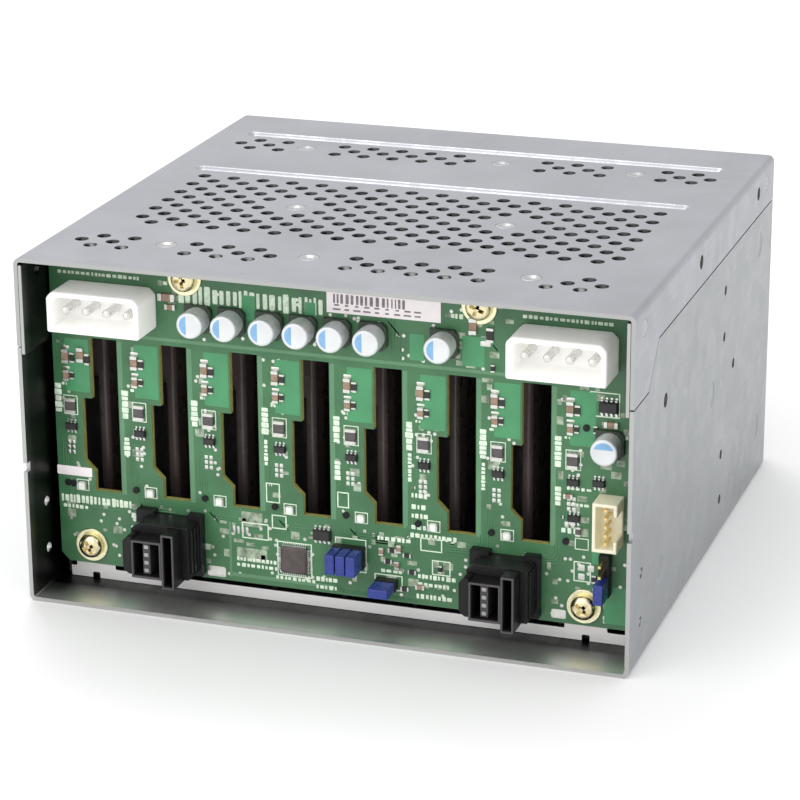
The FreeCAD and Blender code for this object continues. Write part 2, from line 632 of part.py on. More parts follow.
def cover_rivet_holes():
    """Return the cutters for the flush rivets that hold the cover's flanges."""
    cutters = []
    for distance in COVER_RIVET_PLACES:
        y = REAR + distance
        z = CASE_HEIGHT - COVER_RIVET_DROP
        outside = Vec(HALF_WIDTH + SHEET, y, z)
        seat = Vec(HALF_WIDTH - RIVET_HEAD_DEPTH, y, z)
        inside = Vec(HALF_WIDTH - 3 * SHEET, y, z)
        head = rod(RIVET_TAIL_RADIUS + RIVET_CLEARANCE, seat, outside)
        shank = rod(RIVET_SHANK_RADIUS + RIVET_CLEARANCE, inside, outside)
        cutters += [head, shank, mirrored(head), mirrored(shank)]
    return cutters


def make_cover_rivets():
    """Four flush rivets, two on each side."""
    rivets = []
    leaf_face = HALF_WIDTH - 2 * SHEET
    for distance in COVER_RIVET_PLACES:
        y = REAR + distance
        z = CASE_HEIGHT - COVER_RIVET_DROP
        head = rod(RIVET_TAIL_RADIUS, Vec(HALF_WIDTH - RIVET_HEAD_DEPTH, y, z), Vec(HALF_WIDTH, y, z))
        shank = rod(RIVET_SHANK_RADIUS, Vec(leaf_face, y, z), Vec(HALF_WIDTH, y, z))
        rivet = join([head, shank])
        rivets += [rivet, mirrored(rivet)]
    return rivets


# ---- Backplane board and its screws ----------------------------------------------------
def vent_slot(bay):
    """Return the cutter of the air slot between two columns of connectors."""
    right = bay_left(bay + 1) - SLOT_SIDE
    left = right - SLOT_WIDTH
    wide = left - BULGE_DEPTH
    slot_top = BOARD_TOP - SLOT_TOP_DROP
    bulge_top = BULGE_BOTTOM + BULGE_HEIGHT
    outline = [(right, SLOT_BOTTOM), (right, slot_top), (left, slot_top), (left, bulge_top)]
    outline += [(wide, bulge_top), (wide, BULGE_BOTTOM)]
    outline += [(left, BULGE_BOTTOM - BULGE_DEPTH), (left, SLOT_BOTTOM)]
    return prism_y(outline, (BOARD_FACE - SHEET, BOARD_BACK + SHEET))


def make_board():
    """The printed circuit board, with an air slot for each gap between drives."""
    side = BOARD_HALF_WIDTH
    cut = BOARD_CORNER
    outline = [(-side + cut, BOARD_BOTTOM), (side - cut, BOARD_BOTTOM), (side, BOARD_BOTTOM + cut)]
    outline += [(side, BOARD_TOP), (-side, BOARD_TOP), (-side, BOARD_BOTTOM + cut)]
    board = prism_y(outline, (BOARD_FACE, BOARD_BACK))
    cutters = [vent_slot(bay) for bay in range(BAY_COUNT - 1)]
    for x, z in BOARD_SCREWS:
        cutters.append(rod(BOARD_HOLE_RADIUS, Vec(x, BOARD_FACE - SHEET, z), Vec(x, BOARD_BACK + SHEET, z)))
    return board.cut(Part.makeCompound(cutters))


def make_board_screws():
    """Cross-head brass screws through the board into the tabs."""
    screws = []
    head_seat = BOARD_FACE - WASHER_THICKNESS
    for x, z in BOARD_SCREWS:
        top = head_seat - SCREW_HEAD_HEIGHT
        head = rod(SCREW_HEAD_RADIUS, Vec(x, top, z), Vec(x, head_seat, z))
        rim = [edge for edge in head.Edges if edge.CenterOfMass.y < top + NEAR]
        head = head.makeFillet(SCREW_CROWN, rim)
        tip = BOARD_BACK + SHEET + SCREW_TIP
        shank = rod(SCREW_SHANK_RADIUS, Vec(x, head_seat, z), Vec(x, tip, z))
        arm = SCREW_RECESS_HALF
        recess = (top, top + SCREW_RECESS_DEPTH)
        slot_a = block((x - arm, x + arm), recess, around(z, SCREW_RECESS_SLOT))
        slot_b = block(around(x, SCREW_RECESS_SLOT), recess, (z - arm, z + arm))
        screws.append(join([head, shank]).cut(slot_a).cut(slot_b))
    return screws


def make_board_washers():
    """A flat ring under each screw head."""
    washers = []
    for x, z in BOARD_SCREWS:
        start = Vec(x, BOARD_FACE - WASHER_THICKNESS, z)
        end = Vec(x, BOARD_FACE, z)
        washers.append(rod(WASHER_RADIUS, start, end).cut(rod(BOARD_HOLE_RADIUS, start, end)))
    return washers


# ---- Connectors ------------------------------------------------------------------------
def make_power_connector(place):
    """A four-way power header: a shroud with two bevelled corners and an open cavity."""
    x, z = place
    y = (BOARD_FACE - POWER_LENGTH, BOARD_FACE)

    def outline(inset, bevel):
        half_w = POWER_WIDTH / 2 - inset
        half_h = POWER_HEIGHT / 2 - inset
        points = [(x - half_w, z - half_h), (x + half_w, z - half_h), (x + half_w, z + half_h - bevel)]
        points += [(x + half_w - bevel, z + half_h), (x - half_w + bevel, z + half_h)]
        return points + [(x - half_w, z + half_h - bevel)]

    shroud = prism_y(outline(0.0, POWER_CHAMFER), y)
    cavity = prism_y(outline(POWER_WALL, POWER_CHAMFER), (y[0], y[1] - POWER_FLOOR))
    return shroud.cut(cavity)


def make_power_pins():
    """Four round pins in each power header."""
    pins = []
    floor = BOARD_FACE - POWER_FLOOR
    tip = BOARD_FACE - POWER_LENGTH + POWER_PIN_RECESS
    for centre, z in POWER_PLACES.values():
        for number in range(POWER_PINS):
            x = centre + (number - (POWER_PINS - 1) / 2) * POWER_PIN_PITCH
            post = rod(POWER_PIN_RADIUS, Vec(x, tip, z), Vec(x, floor, z))
            ends = [edge for edge in post.Edges if edge.CenterOfMass.y < tip + NEAR]
            pins.append(post.makeChamfer(POWER_PIN_RADIUS / 2, ends))
    return pins


def make_sas_connector(place):
    """An upright data receptacle: base flange, latch wings, cavity, tongue and divider."""
    x, z = place
    y_front = BOARD_FACE - SAS_LENGTH
    core = block(around(x, SAS_WIDTH), (y_front, BOARD_FACE), around(z, SAS_HEIGHT))
    wing_span = around(x, SAS_WIDTH + 2 * SAS_WING)
    wings = block(wing_span, (y_front + SAS_WING_SETBACK, BOARD_FACE), around(z, SAS_WING_HEIGHT))
    base_y = (BOARD_FACE - SAS_BASE_THICKNESS, BOARD_FACE)
    base = block(around(x, SAS_BASE_WIDTH), base_y, around(z, SAS_BASE_HEIGHT))
    body = join([core, wings, base])
    cavity_x = around(x, SAS_WIDTH - 2 * SAS_WALL)
    cavity_z = around(z, SAS_HEIGHT - 2 * SAS_WALL)
    cavity = block(cavity_x, (y_front, y_front + SAS_CAVITY), cavity_z)
    slot = (cavity_x[1] - cavity_x[0] - SAS_TONGUE - SAS_DIVIDER) / 3
    tongue_x = (cavity_x[0] + slot, cavity_x[0] + slot + SAS_TONGUE)
    divider_x = (cavity_x[1] - slot - SAS_DIVIDER, cavity_x[1] - slot)
    inner_y = (y_front + SAS_WALL, y_front + SAS_CAVITY)
    cavity = cavity.cut(block(tongue_x, inner_y, cavity_z)).cut(block(divider_x, inner_y, cavity_z))
    return body.cut(cavity)


def make_sas_contacts():
    """Contact pads up the tongue of each data receptacle."""
    pads = []
    slot = (SAS_WIDTH - 2 * SAS_WALL - SAS_TONGUE - SAS_DIVIDER) / 3
    for centre, z in SAS_SOCKETS.values():
        x = centre - SAS_WIDTH / 2 + SAS_WALL + slot + SAS_TONGUE / 2
        face = BOARD_FACE - SAS_LENGTH + SAS_WALL
        for number in range(SAS_CONTACTS):
            pad_z = z + (number - (SAS_CONTACTS - 1) / 2) * SAS_CONTACT_PITCH
            pad_y = (face - SAS_CONTACT_HEIGHT, face)
            pad_x = around(x, SAS_TONGUE - SAS_CONTACT_SIZE)
            pads.append(block(pad_x, pad_y, around(pad_z, SAS_CONTACT_SIZE)))
    return pads


def make_drive_connectors():
    """The receptacle that each drive plugs on to, on the far side of the board."""
    receptacles = []
    for bay in range(BAY_COUNT):
        x = bay_left(bay) + DRIVE_PLUG_SHIFT
        tip = BOARD_BACK + DRIVE_PLUG_REACH
        body_z = around(DRIVE_PLUG_CENTRE, DRIVE_PLUG_LENGTH)
        body = block(around(x, DRIVE_PLUG_WIDTH), (BOARD_BACK, tip), body_z)
        mouth_x = around(x, DRIVE_PLUG_WIDTH - 2 * DRIVE_PLUG_WALL)
        mouth_z = around(DRIVE_PLUG_CENTRE, DRIVE_PLUG_LENGTH - 2 * DRIVE_PLUG_WALL)
        receptacles.append(body.cut(block(mouth_x, (tip - DRIVE_PLUG_CAVITY, tip), mouth_z)))
    return receptacles


# ---- Small parts on the board ----------------------------------------------------------
def capacitor_places():
    """Return the (x, z) of every capacitor."""
    alone = (BOARD_HALF_WIDTH - LONE_CAPACITOR_INSET, BOARD_BOTTOM + LONE_CAPACITOR_RISE)
    return [(x, BOARD_TOP - CAPACITOR_ROW_DROP) for x in CAPACITOR_ROW] + [alone]


def make_capacitor_bases():
    """The square plastic foot of each can, with two corners cut off."""
    bases = []
    half = CAPACITOR_BASE / 2
    cut = CAPACITOR_BASE / 6
    for x, z in capacitor_places():
        outline = [(x - half, z - half), (x + half - cut, z - half), (x + half, z - half + cut)]
        outline += [(x + half, z + half - cut), (x + half - cut, z + half), (x - half, z + half)]
        bases.append(prism_y(outline, (BOARD_FACE - CAPACITOR_BASE_HEIGHT, BOARD_FACE)))
    return bases


def make_capacitor_cans():
    """The round aluminium can of each capacitor."""
    cans = []
    foot = BOARD_FACE - CAPACITOR_BASE_HEIGHT
    top = foot - CAPACITOR_HEIGHT
    for x, z in capacitor_places():
        can = rod(CAPACITOR_RADIUS, Vec(x, top, z), Vec(x, foot, z))
        rim = [edge for edge in can.Edges if edge.CenterOfMass.y < top + NEAR]
        cans.append(can.makeFillet(CAPACITOR_EDGE, rim))
    return cans


def make_signal_header():
    """The upright five-way side-band header, open towards its plug."""
    x, z = SIGNAL_PLACE
    y = (BOARD_FACE - SIGNAL_HEIGHT, BOARD_FACE)
    body = block(around(x, SIGNAL_WIDTH), y, around(z, SIGNAL_LENGTH))
    hollow_x = around(x, SIGNAL_WIDTH - 2 * SIGNAL_WALL)
    hollow_z = around(z, SIGNAL_LENGTH - 2 * SIGNAL_WALL)
    hollow_y = (y[0], y[1] - SIGNAL_FLOOR)
    gate = block((x, x + SIGNAL_WIDTH), hollow_y, around(z, SIGNAL_LENGTH / 2))
    return body.cut(block(hollow_x, hollow_y, hollow_z)).cut(gate)


def jumper_spots(number):
    """Return the (x, z) of each pin of one jumper block."""
    x, z = JUMPER_BLOCKS[number]
    across, up = JUMPER_PIN_COUNTS[number]
    spots = []
    for column in range(across):
        for row in range(up):
            pin_x = x + (column - (across - 1) / 2) * JUMPER_PITCH
            spots.append((pin_x, z + (row - (up - 1) / 2) * JUMPER_PITCH))
    return spots


def pin(place, foot, height):
    """Return a square pin that stands on a base of this thickness."""
    half = PIN_HALF
    y = (BOARD_FACE - height, BOARD_FACE - foot)
    return block((place[0] - half, place[0] + half), y, (place[1] - half, place[1] + half))


def make_header_pins():
    """The square pins of the side-band header and of the jumper blocks."""
    pins = []
    x, z = SIGNAL_PLACE
    for number in range(SIGNAL_PINS):
        place = (x, z + (number - (SIGNAL_PINS - 1) / 2) * PIN_PITCH)
        pins.append(pin(place, SIGNAL_FLOOR, PIN_HEIGHT))
    for number in range(len(JUMPER_BLOCKS)):
        for place in jumper_spots(number):
            pins.append(pin(place, JUMPER_BASE, JUMPER_PIN_HEIGHT))
    return pins


def make_jumper_headers():
    """The black strips that carry the jumper pins."""
    strips = []
    for place, (across, up) in zip(JUMPER_BLOCKS, JUMPER_PIN_COUNTS):
        strips.append(on_board(place, (across * JUMPER_PITCH, up * JUMPER_PITCH, JUMPER_BASE)))
    return strips


def shunt(number, column):
    """Return the cap over two neighbouring pins of a jumper block."""
    x, z = JUMPER_BLOCKS[number]
    across, up = JUMPER_PIN_COUNTS[number]
    if up == 1:
        size = (SHUNT_LENGTH, SHUNT_WIDTH)
        place = (x, z)
    else:
        size = (SHUNT_WIDTH, SHUNT_LENGTH)
        lowest_pair = z - (up / 2 - 1) * JUMPER_PITCH
        place = (x + (column - (across - 1) / 2) * JUMPER_PITCH, lowest_pair)
    y = (BOARD_FACE - JUMPER_BASE - SHUNT_HEIGHT, BOARD_FACE - JUMPER_BASE)
    cap = block(around(place[0], size[0]), y, around(place[1], size[1]))
    pins = [pin(spot, JUMPER_BASE, JUMPER_PIN_HEIGHT) for spot in jumper_spots(number)]
    return cap.cut(Part.makeCompound(pins))


def make_jumper_shunts():
    """Five push-on jumper caps."""
    return [shunt(number, column) for number, count in enumerate(SHUNT_COUNTS) for column in range(count)]


def board_columns(shift):
    """Return the X of something that repeats once for each bay."""
    return [bay_left(bay) + shift for bay in range(BAY_COUNT)]


def make_label():
    """A thin blank label on the board."""
    right = UPPER_SCREWS[1][0] - LABEL_SCREW_GAP
    y = (BOARD_FACE - LABEL_THICKNESS, BOARD_FACE)
    return block((right - LABEL_LENGTH, right), y, (BOARD_TOP - LABEL_DROPS[0], BOARD_TOP - LABEL_DROPS[1]))


# ---- Trays, at the middle of the case; each bay's copy is moved along X ----------------
def make_tray():
    """A carrier: two rails that run in the guides, and a hollow vented face."""
    half = TRAY_HALF_WIDTH
    rail_top = RAIL_BOTTOM + RAIL_HEIGHT
    rail_y = (REAR + RAIL_START, FACE_BACK)
    rail = block((-half, half), rail_y, (RAIL_BOTTOM, rail_top))
    groove = block((-half + RAIL_WALL, half - RAIL_WALL), rail_y, (RAIL_BOTTOM, rail_top - RAIL_WALL))
    rail = rail.cut(groove)
    face_x = (-FACE_HALF_WIDTH, FACE_HALF_WIDTH)
    inside_x = (-FACE_HALF_WIDTH + FACE_WALL, FACE_HALF_WIDTH - FACE_WALL)
    face = block(face_x, (FACE_BACK, FACE_FRONT), (FACE_BOTTOM, FACE_TOP))
    recess = block(inside_x, (RECESS_FLOOR, FACE_FRONT), (RECESS_BOTTOM, RECESS_TOP))
    hollow_z = (rail_top, CASE_HEIGHT - rail_top)
    hollow = block(inside_x, (FACE_BACK, RECESS_FLOOR - RECESS_BACK), hollow_z)
    body = join([face.cut(recess).cut(hollow), rail, upside_down(rail)])
    cutters = []
    vent_y = (RECESS_FLOOR - RECESS_BACK, RECESS_FLOOR)
    span = (-FACE_HALF_WIDTH + 2 * FACE_WALL, FACE_HALF_WIDTH - 2 * FACE_WALL)
    for number in range(int((RECESS_TOP - TRAY_VENT_START) // TRAY_VENT_PITCH)):
        vent_z = TRAY_VENT_START + number * TRAY_VENT_PITCH
        cutters.append(block(span, vent_y, (vent_z, vent_z + TRAY_VENT_HEIGHT)))
    pin_half = FACE_HALF_WIDTH + SHEET
    hole_ends = [Vec(x, PIVOT_Y, PIVOT_HEIGHT) for x in (-pin_half, pin_half)]
    hole = rod(PIVOT_RADIUS + PIVOT_CLEARANCE, *hole_ends)
    button_x = (-BUTTON_HALF_WIDTH - BUTTON_GAP, BUTTON_HALF_WIDTH + BUTTON_GAP)
    button_z = (BUTTON_BOTTOM - BUTTON_GAP, BUTTON_TOP + BUTTON_GAP)
    pocket_back = FACE_FRONT + BUTTON_PROUD - BUTTON_DEPTH - BUTTON_TRAVEL - BUTTON_FLOOR_GAP
    pocket = block(button_x, (pocket_back, FACE_FRONT), button_z)
    return body.cut(Part.makeCompound(cutters)).cut(hole).cut(pocket)


def make_drive_blank():
    """A dummy drive with rounded long edges and shallow pockets on its broad sides."""
    left = -BAY_WIDTH / 2 + DRIVE_SHIFT
    z = around(MID_HEIGHT, DRIVE_WIDTH)
    y = (REAR + DRIVE_START, REAR + DRIVE_START + DRIVE_LENGTH)
    blank = block((left, left + DRIVE_THICKNESS), y, z)
    blank = blank.makeFillet(DRIVE_EDGE, edges_along(blank, Vec(0, 0, 1), lambda centre: True))
    pocket_length = (DRIVE_LENGTH - DRIVE_FRAME) / DRIVE_POCKETS - DRIVE_FRAME
    pocket_z = (z[0] + DRIVE_FRAME, z[1] - DRIVE_FRAME)
    cutters = []
    for number in range(DRIVE_POCKETS):
        start = y[0] + DRIVE_FRAME + number * (pocket_length + DRIVE_FRAME)
        pocket_y = (start, start + pocket_length)
        right = left + DRIVE_THICKNESS
        cutters.append(block((left, left + DRIVE_POCKET_DEPTH), pocket_y, pocket_z))
        cutters.append(block((right - DRIVE_POCKET_DEPTH, right), pocket_y, pocket_z))
    return blank.cut(Part.makeCompound(cutters))


def make_lever():
    """A slotted front bar with stiffening ribs, a round boss and two pivot stubs."""
    half = FACE_HALF_WIDTH - FACE_WALL - LEVER_SIDE_GAP
    top = RECESS_TOP - LEVER_TOP_GAP
    plate = block((-half, half), (FACE_FRONT - LEVER_PLATE, FACE_FRONT), (PIVOT_HEIGHT, top))
    boss = rod(PIVOT_BOSS, Vec(-half, PIVOT_Y, PIVOT_HEIGHT), Vec(half, PIVOT_Y, PIVOT_HEIGHT))
    web_y = (PIVOT_Y, FACE_FRONT)
    web = block((-half, half), web_y, (PIVOT_HEIGHT, PIVOT_HEIGHT + PIVOT_BOSS))
    rib_y = (FACE_FRONT - LEVER_PLATE - LEVER_RIB_DEPTH, FACE_FRONT - LEVER_PLATE)
    rib = block((half - LEVER_RIB_WIDTH, half), rib_y, (PIVOT_HEIGHT, top - LEVER_RIB_DEPTH))
    stub_end = FACE_HALF_WIDTH - PIVOT_END_GAP
    stub = rod(PIVOT_RADIUS, Vec(-stub_end, PIVOT_Y, PIVOT_HEIGHT), Vec(stub_end, PIVOT_Y, PIVOT_HEIGHT))
    body = join([plate, boss, web, rib, mirrored(rib), stub])
    cutters = []
    slot_x = (-half + 2 * LEVER_RIB_WIDTH, half - 2 * LEVER_RIB_WIDTH)
    slot_y = (FACE_FRONT - LEVER_PLATE, FACE_FRONT)
    for number in range(int((top - LEVER_SLOT_START) // LEVER_SLOT_PITCH)):
        slot_z = LEVER_SLOT_START + number * LEVER_SLOT_PITCH
        cutters.append(block(slot_x, slot_y, (slot_z, slot_z + LEVER_SLOT_HEIGHT)))
    return body.cut(Part.makeCompound(cutters))


def make_button():
    """The release button, with a shallow dish for the fingertip."""
    x = (-BUTTON_HALF_WIDTH, BUTTON_HALF_WIDTH)
    front = FACE_FRONT + BUTTON_PROUD
    body = block(x, (front - BUTTON_DEPTH, front), (BUTTON_BOTTOM, BUTTON_TOP))
    hollow_x = (x[0] + FACE_WALL, x[1] - FACE_WALL)
    hollow_z = (BUTTON_BOTTOM + FACE_WALL, BUTTON_TOP - FACE_WALL)
    hollow = block(hollow_x, (front - BUTTON_DEPTH, front - BUTTON_FRONT_WALL), hollow_z)
    middle = (BUTTON_BOTTOM + BUTTON_TOP) / 2
    dish_centre = Vec(0, front + BUTTON_DISH_RADIUS - BUTTON_DISH_DEPTH, middle)
    dish = Part.makeSphere(BUTTON_DISH_RADIUS, dish_centre)
    return body.cut(hollow).cut(dish)


def main():
    """Build and write every sub-part."""
    save("chassis_shell", make_chassis())
    save("top_cover", make_cover())
    upper_guides = make_upper_guides()
    save("upper_guides", upper_guides)
    save("lower_guides", upside_down(upper_guides))
    save("guide_rivets", make_guide_rivets())
    save("cover_rivets", make_cover_rivets())
    save("backplane_board", make_board())
    save("board_screws", make_board_screws())
    save("board_washers", make_board_washers())
    for side, place in POWER_PLACES.items():
        save("power_connector_" + side, make_power_connector(place))
    save("power_pins", make_power_pins())
    for side, place in SAS_SOCKETS.items():
        save("sas_connector_" + side, make_sas_connector(place))
    save("sas_contacts", make_sas_contacts())
    save("drive_connectors", make_drive_connectors())
    save("capacitor_bases", make_capacitor_bases())
    save("capacitor_cans", make_capacitor_cans())
    save("signal_header", make_signal_header())
    save("header_pins", make_header_pins())
    save("jumper_headers", make_jumper_headers())
    save("jumper_shunts", make_jumper_shunts())
    save("controller_chip", on_board(CONTROLLER_PLACE, (CONTROLLER_SIZE, CONTROLLER_SIZE, CONTROLLER_HEIGHT)))
    columns = board_columns(PART_COLUMN_SHIFT)
    save("logic_chips", [on_board((x, LOGIC_HEIGHT_ON_BOARD), LOGIC_SIZE) for x in columns])
    resistors = [on_board((x, z), RESISTOR_SIZE) for x in columns for z in RESISTOR_HEIGHTS]
    save("chip_resistors", resistors)
    save("chip_capacitors", [on_board((x, CERAMIC_HEIGHT_ON_BOARD), CERAMIC_SIZE) for x in columns])
    leds = board_columns(LED_COLUMN_SHIFT)
    save("status_leds", [on_board((x, LED_HEIGHT_ON_BOARD), LED_SIZE) for x in leds[:-1]])
    save("board_label", make_label())
    moving = {"tray": make_tray(), "drive_blank": make_drive_blank()}
    moving["lever"] = make_lever()
    moving["release_button"] = make_button()
    for bay in range(BAY_COUNT):
        for name, shape in moving.items():
            save(f"{name}_{bay + 1}", shape.translated(Vec(bay_middle(bay), 0, 0)))


main()
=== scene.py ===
# %% [markdown]
# # Hot swap drive cage
# A cage for eight upright 2.5-inch drives: a folded zinc plated case, a green backplane board
# with its connectors at the back, and eight trays at the front. The script dresses the packed
# solids. Every length is typed in millimetres, and MM turns it into Blender's metres.

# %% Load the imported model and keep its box
import math
import random

import bmesh
import bpy
from mathutils import Matrix, Vector


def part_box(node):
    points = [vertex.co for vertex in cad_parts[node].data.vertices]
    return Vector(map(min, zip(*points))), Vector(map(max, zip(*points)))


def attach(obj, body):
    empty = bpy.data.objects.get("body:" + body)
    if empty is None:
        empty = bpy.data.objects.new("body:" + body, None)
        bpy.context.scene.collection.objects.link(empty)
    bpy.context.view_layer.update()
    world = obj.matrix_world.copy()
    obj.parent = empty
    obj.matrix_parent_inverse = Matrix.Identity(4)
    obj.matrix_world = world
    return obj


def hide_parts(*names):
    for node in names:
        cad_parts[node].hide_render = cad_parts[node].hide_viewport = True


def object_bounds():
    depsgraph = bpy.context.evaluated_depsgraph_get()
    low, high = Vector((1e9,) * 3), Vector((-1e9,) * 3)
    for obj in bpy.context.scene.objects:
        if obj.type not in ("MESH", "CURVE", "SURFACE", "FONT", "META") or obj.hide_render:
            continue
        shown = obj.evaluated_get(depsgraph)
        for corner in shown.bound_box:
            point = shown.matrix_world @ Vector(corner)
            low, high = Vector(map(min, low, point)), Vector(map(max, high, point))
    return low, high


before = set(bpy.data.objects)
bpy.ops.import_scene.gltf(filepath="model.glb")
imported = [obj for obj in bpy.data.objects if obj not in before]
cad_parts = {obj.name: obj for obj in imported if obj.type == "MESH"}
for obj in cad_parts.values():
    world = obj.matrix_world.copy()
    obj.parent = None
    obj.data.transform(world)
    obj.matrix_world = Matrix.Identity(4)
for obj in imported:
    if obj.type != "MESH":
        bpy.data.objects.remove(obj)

MM = 0.001
scene = bpy.context.scene
cad_low, cad_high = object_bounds()
print("solids:", len(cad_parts), "box mm:", [round(v / MM, 1) for v in cad_high - cad_low])


def box_mm(node_name):
    """Return the lowest and highest corner of a solid, in millimetres."""
    low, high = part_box(node_name)
    return low / MM, high / MM


def middle_mm(node_name):
    """Return the middle of a solid's box, in millimetres."""
    low, high = box_mm(node_name)
    return (low + high) / 2


def new_object(name, data):
    """Return a new object that shows this data, linked into the scene."""
    made = bpy.data.objects.new(name, data)
    scene.collection.objects.link(made)
    return made


def made_mesh(name, form, materials=()):
    """Turn a bmesh into a mesh with these materials and free it."""
    mesh = bpy.data.meshes.new(name)
    form.to_mesh(mesh)
    form.free()
    for material in materials:
        mesh.materials.append(material)
    return mesh


# %% [markdown]
# ## Camera, floor and light
# The cage is seen from its board side, a little from the right and from above, with a long lens,
# so its edges stay nearly parallel. A long lens far away could also be an orthographic camera,
# but a little perspective is what tells the eye how big the cage is.
# White surroundings with two big soft lamps give the zinc something pale to reflect, and a
# smaller lamp overhead lights up the slopes of the beads and the dishes of the rivets.

# %% Camera
LENS = 133.0
EYE = Vector((218.1, -657.2, 275.8))
AIM = Vector((-0.75, -13.92, 37.64))
ROLL = math.radians(-0.37)
camera_data = bpy.data.cameras.new("camera")
camera_data.lens = LENS
camera = new_object("camera", camera_data)
facing = (AIM - EYE).to_track_quat("-Z", "Y").to_matrix() @ Matrix.Rotation(ROLL, 3, "Z")
camera.matrix_world = Matrix.Translation(EYE * MM) @ facing.to_4x4()
scene.camera = camera

# %% Floor, surroundings and lamps
FLOOR_SIZE = 12.0
floor_mesh = bpy.data.meshes.new("studio_floor")
half = FLOOR_SIZE / 2
floor_z = cad_low.z
floor_mesh.from_pydata([(-half, -half, floor_z), (half, -half, floor_z), (half, half, floor_z),
                        (-half, half, floor_z)], [], [(0, 1, 2, 3)])
studio_floor = new_object("studio_floor", floor_mesh)

world = bpy.data.worlds.new("studio")
world.use_nodes = True
surroundings = world.node_tree.nodes["Background"].inputs
surroundings["Color"].default_value = (1.0, 1.0, 1.0, 1.0)
surroundings["Strength"].default_value = 1.0
scene.world = world
scene.view_settings.view_transform = "Standard"


def softbox(name, place, target, size, watts):
    """Hang a square lamp of this size, in metres, that looks at a target."""
    data = bpy.data.lights.new(name, "AREA")
    data.shape = "SQUARE"
    data.size = size
    data.energy = watts
    turn = (Vector(target) - Vector(place)).to_track_quat("-Z", "Y")
    new_object(name, data).matrix_world = Matrix.Translation(place) @ turn.to_matrix().to_4x4()


softbox("key_lamp", (-0.5, -1.1, 0.70), (0.0, 0.0, 0.04), 1.3, 6.0)
softbox("right_lamp", (1.1, -0.2, 0.7), (0.0, 0.0, 0.04), 0.8, 2.0)
softbox("top_lamp", (-0.30, 0.42, 0.95), (0.0, 0.0, 0.08), 0.35, 2.0)

# %% [markdown]
# ## Finishes
# Each finish is a small node tree on the Principled shader. They could be pictures wrapped round
# the parts, but a tree of noises has no seams, keeps its scale in millimetres and needs no files.
# One helper adds a node and joins it up, and one more builds the common finish: a colour that
# is a little uneven, a gloss that is a little uneven and a fine grain under the light.

# %% Helpers for node trees
def add(tree, kind, feeds=None, **settings):
    """Add a node; feeds gives its inputs a value or another node's output."""
    made = tree.nodes.new(kind)
    for key, value in settings.items():
        setattr(made, key, value)
    for key, value in (feeds or {}).items():
        if isinstance(value, bpy.types.NodeSocket):
            tree.links.new(value, made.inputs[key])
        else:
            made.inputs[key].default_value = value
    return made


def got(tree, kind, feeds=None, **settings):
    """Add a node and return its first output."""
    return add(tree, kind, feeds, **settings).outputs[0]


def rgba(colour):
    """Return a colour with full cover."""
    return (*colour, 1.0)


def scaled(colour, share):
    """Return a colour times a share, with no channel above one."""
    return tuple(min(1.0, channel * share) for channel in colour)


def calc(tree, operation, first, second=0.0, third=0.0):
    """Return the output of one sum, product or other operation."""
    return got(tree, "ShaderNodeMath", {0: first, 1: second, 2: third}, operation=operation)


def times(tree, product, *others):
    """Return the product of values."""
    for other in others:
        product = calc(tree, "MULTIPLY", product, other)
    return product


def blend_colour(tree, factor, first, second, kind="MIX"):
    """Return a mix of two colours."""
    mix = add(tree, "ShaderNodeMix", {"Factor": factor}, data_type="RGBA", blend_type=kind)
    for socket, value in ((mix.inputs[6], first), (mix.inputs[7], second)):
        if isinstance(value, bpy.types.NodeSocket):
            tree.links.new(value, socket)
        else:
            socket.default_value = rgba(value)
    return mix.outputs[2]

# %% Helpers that start a finish and give it patterns
def start_finish(name, metallic=0.0):
    """Start a material; return it, its tree, its shader and the place in millimetres."""
    material = bpy.data.materials.new(name)
    material.use_nodes = True
    tree = material.node_tree
    tree.nodes.clear()
    shader = add(tree, "ShaderNodeBsdfPrincipled", {"Metallic": metallic})
    add(tree, "ShaderNodeOutputMaterial", {"Surface": shader.outputs[0]})
    place = add(tree, "ShaderNodeTexCoord").outputs["Object"]
    place_mm = got(tree, "ShaderNodeVectorMath", {0: place, "Scale": 1 / MM}, operation="SCALE")
    return material, tree, shader, place_mm


def noise(tree, place_mm, size, detail=2.0, stretch=(1.0, 1.0, 1.0)):
    """Return a noise whose lumps are about this many millimetres wide."""
    moved = got(tree, "ShaderNodeMapping", {"Vector": place_mm, "Scale": stretch})
    feeds = {"Vector": moved, "Scale": 1 / size, "Detail": detail}
    return add(tree, "ShaderNodeTexNoise", feeds).outputs["Fac"]


def spread(tree, value, low, high, start=0.3, end=0.7):
    """Return a value stretched from start..end to low..high."""
    feeds = {"Value": value, "From Min": start, "From Max": end, "To Min": low, "To Max": high}
    return got(tree, "ShaderNodeMapRange", feeds)


def grain(tree, shader, height, depth):
    """Join a bump of this depth in millimetres to the shader."""
    bump = add(tree, "ShaderNodeBump", {"Height": height, "Distance": depth * MM, "Strength": 1.0})
    tree.links.new(bump.outputs[0], shader.inputs["Normal"])

# %% The common finishes of plastic and of metal
SCATTER = 0.6
SCATTER_COLOUR = (1.0, 0.97, 0.9)
MOULD_GRAIN = 0.35
METAL_GRAIN = 0.25
METAL_GRAIN_DEPTH = 0.008


def coloured(tree, shader, place, patch, dark, light, gloss, gloss_patch):
    """Give a finish its uneven colour and its uneven gloss."""
    tint = blend_colour(tree, spread(tree, noise(tree, place, patch), 0.0, 1.0), dark, light)
    tree.links.new(tint, shader.inputs["Base Color"])
    tree.links.new(spread(tree, noise(tree, place, gloss_patch), *gloss), shader.inputs["Roughness"])


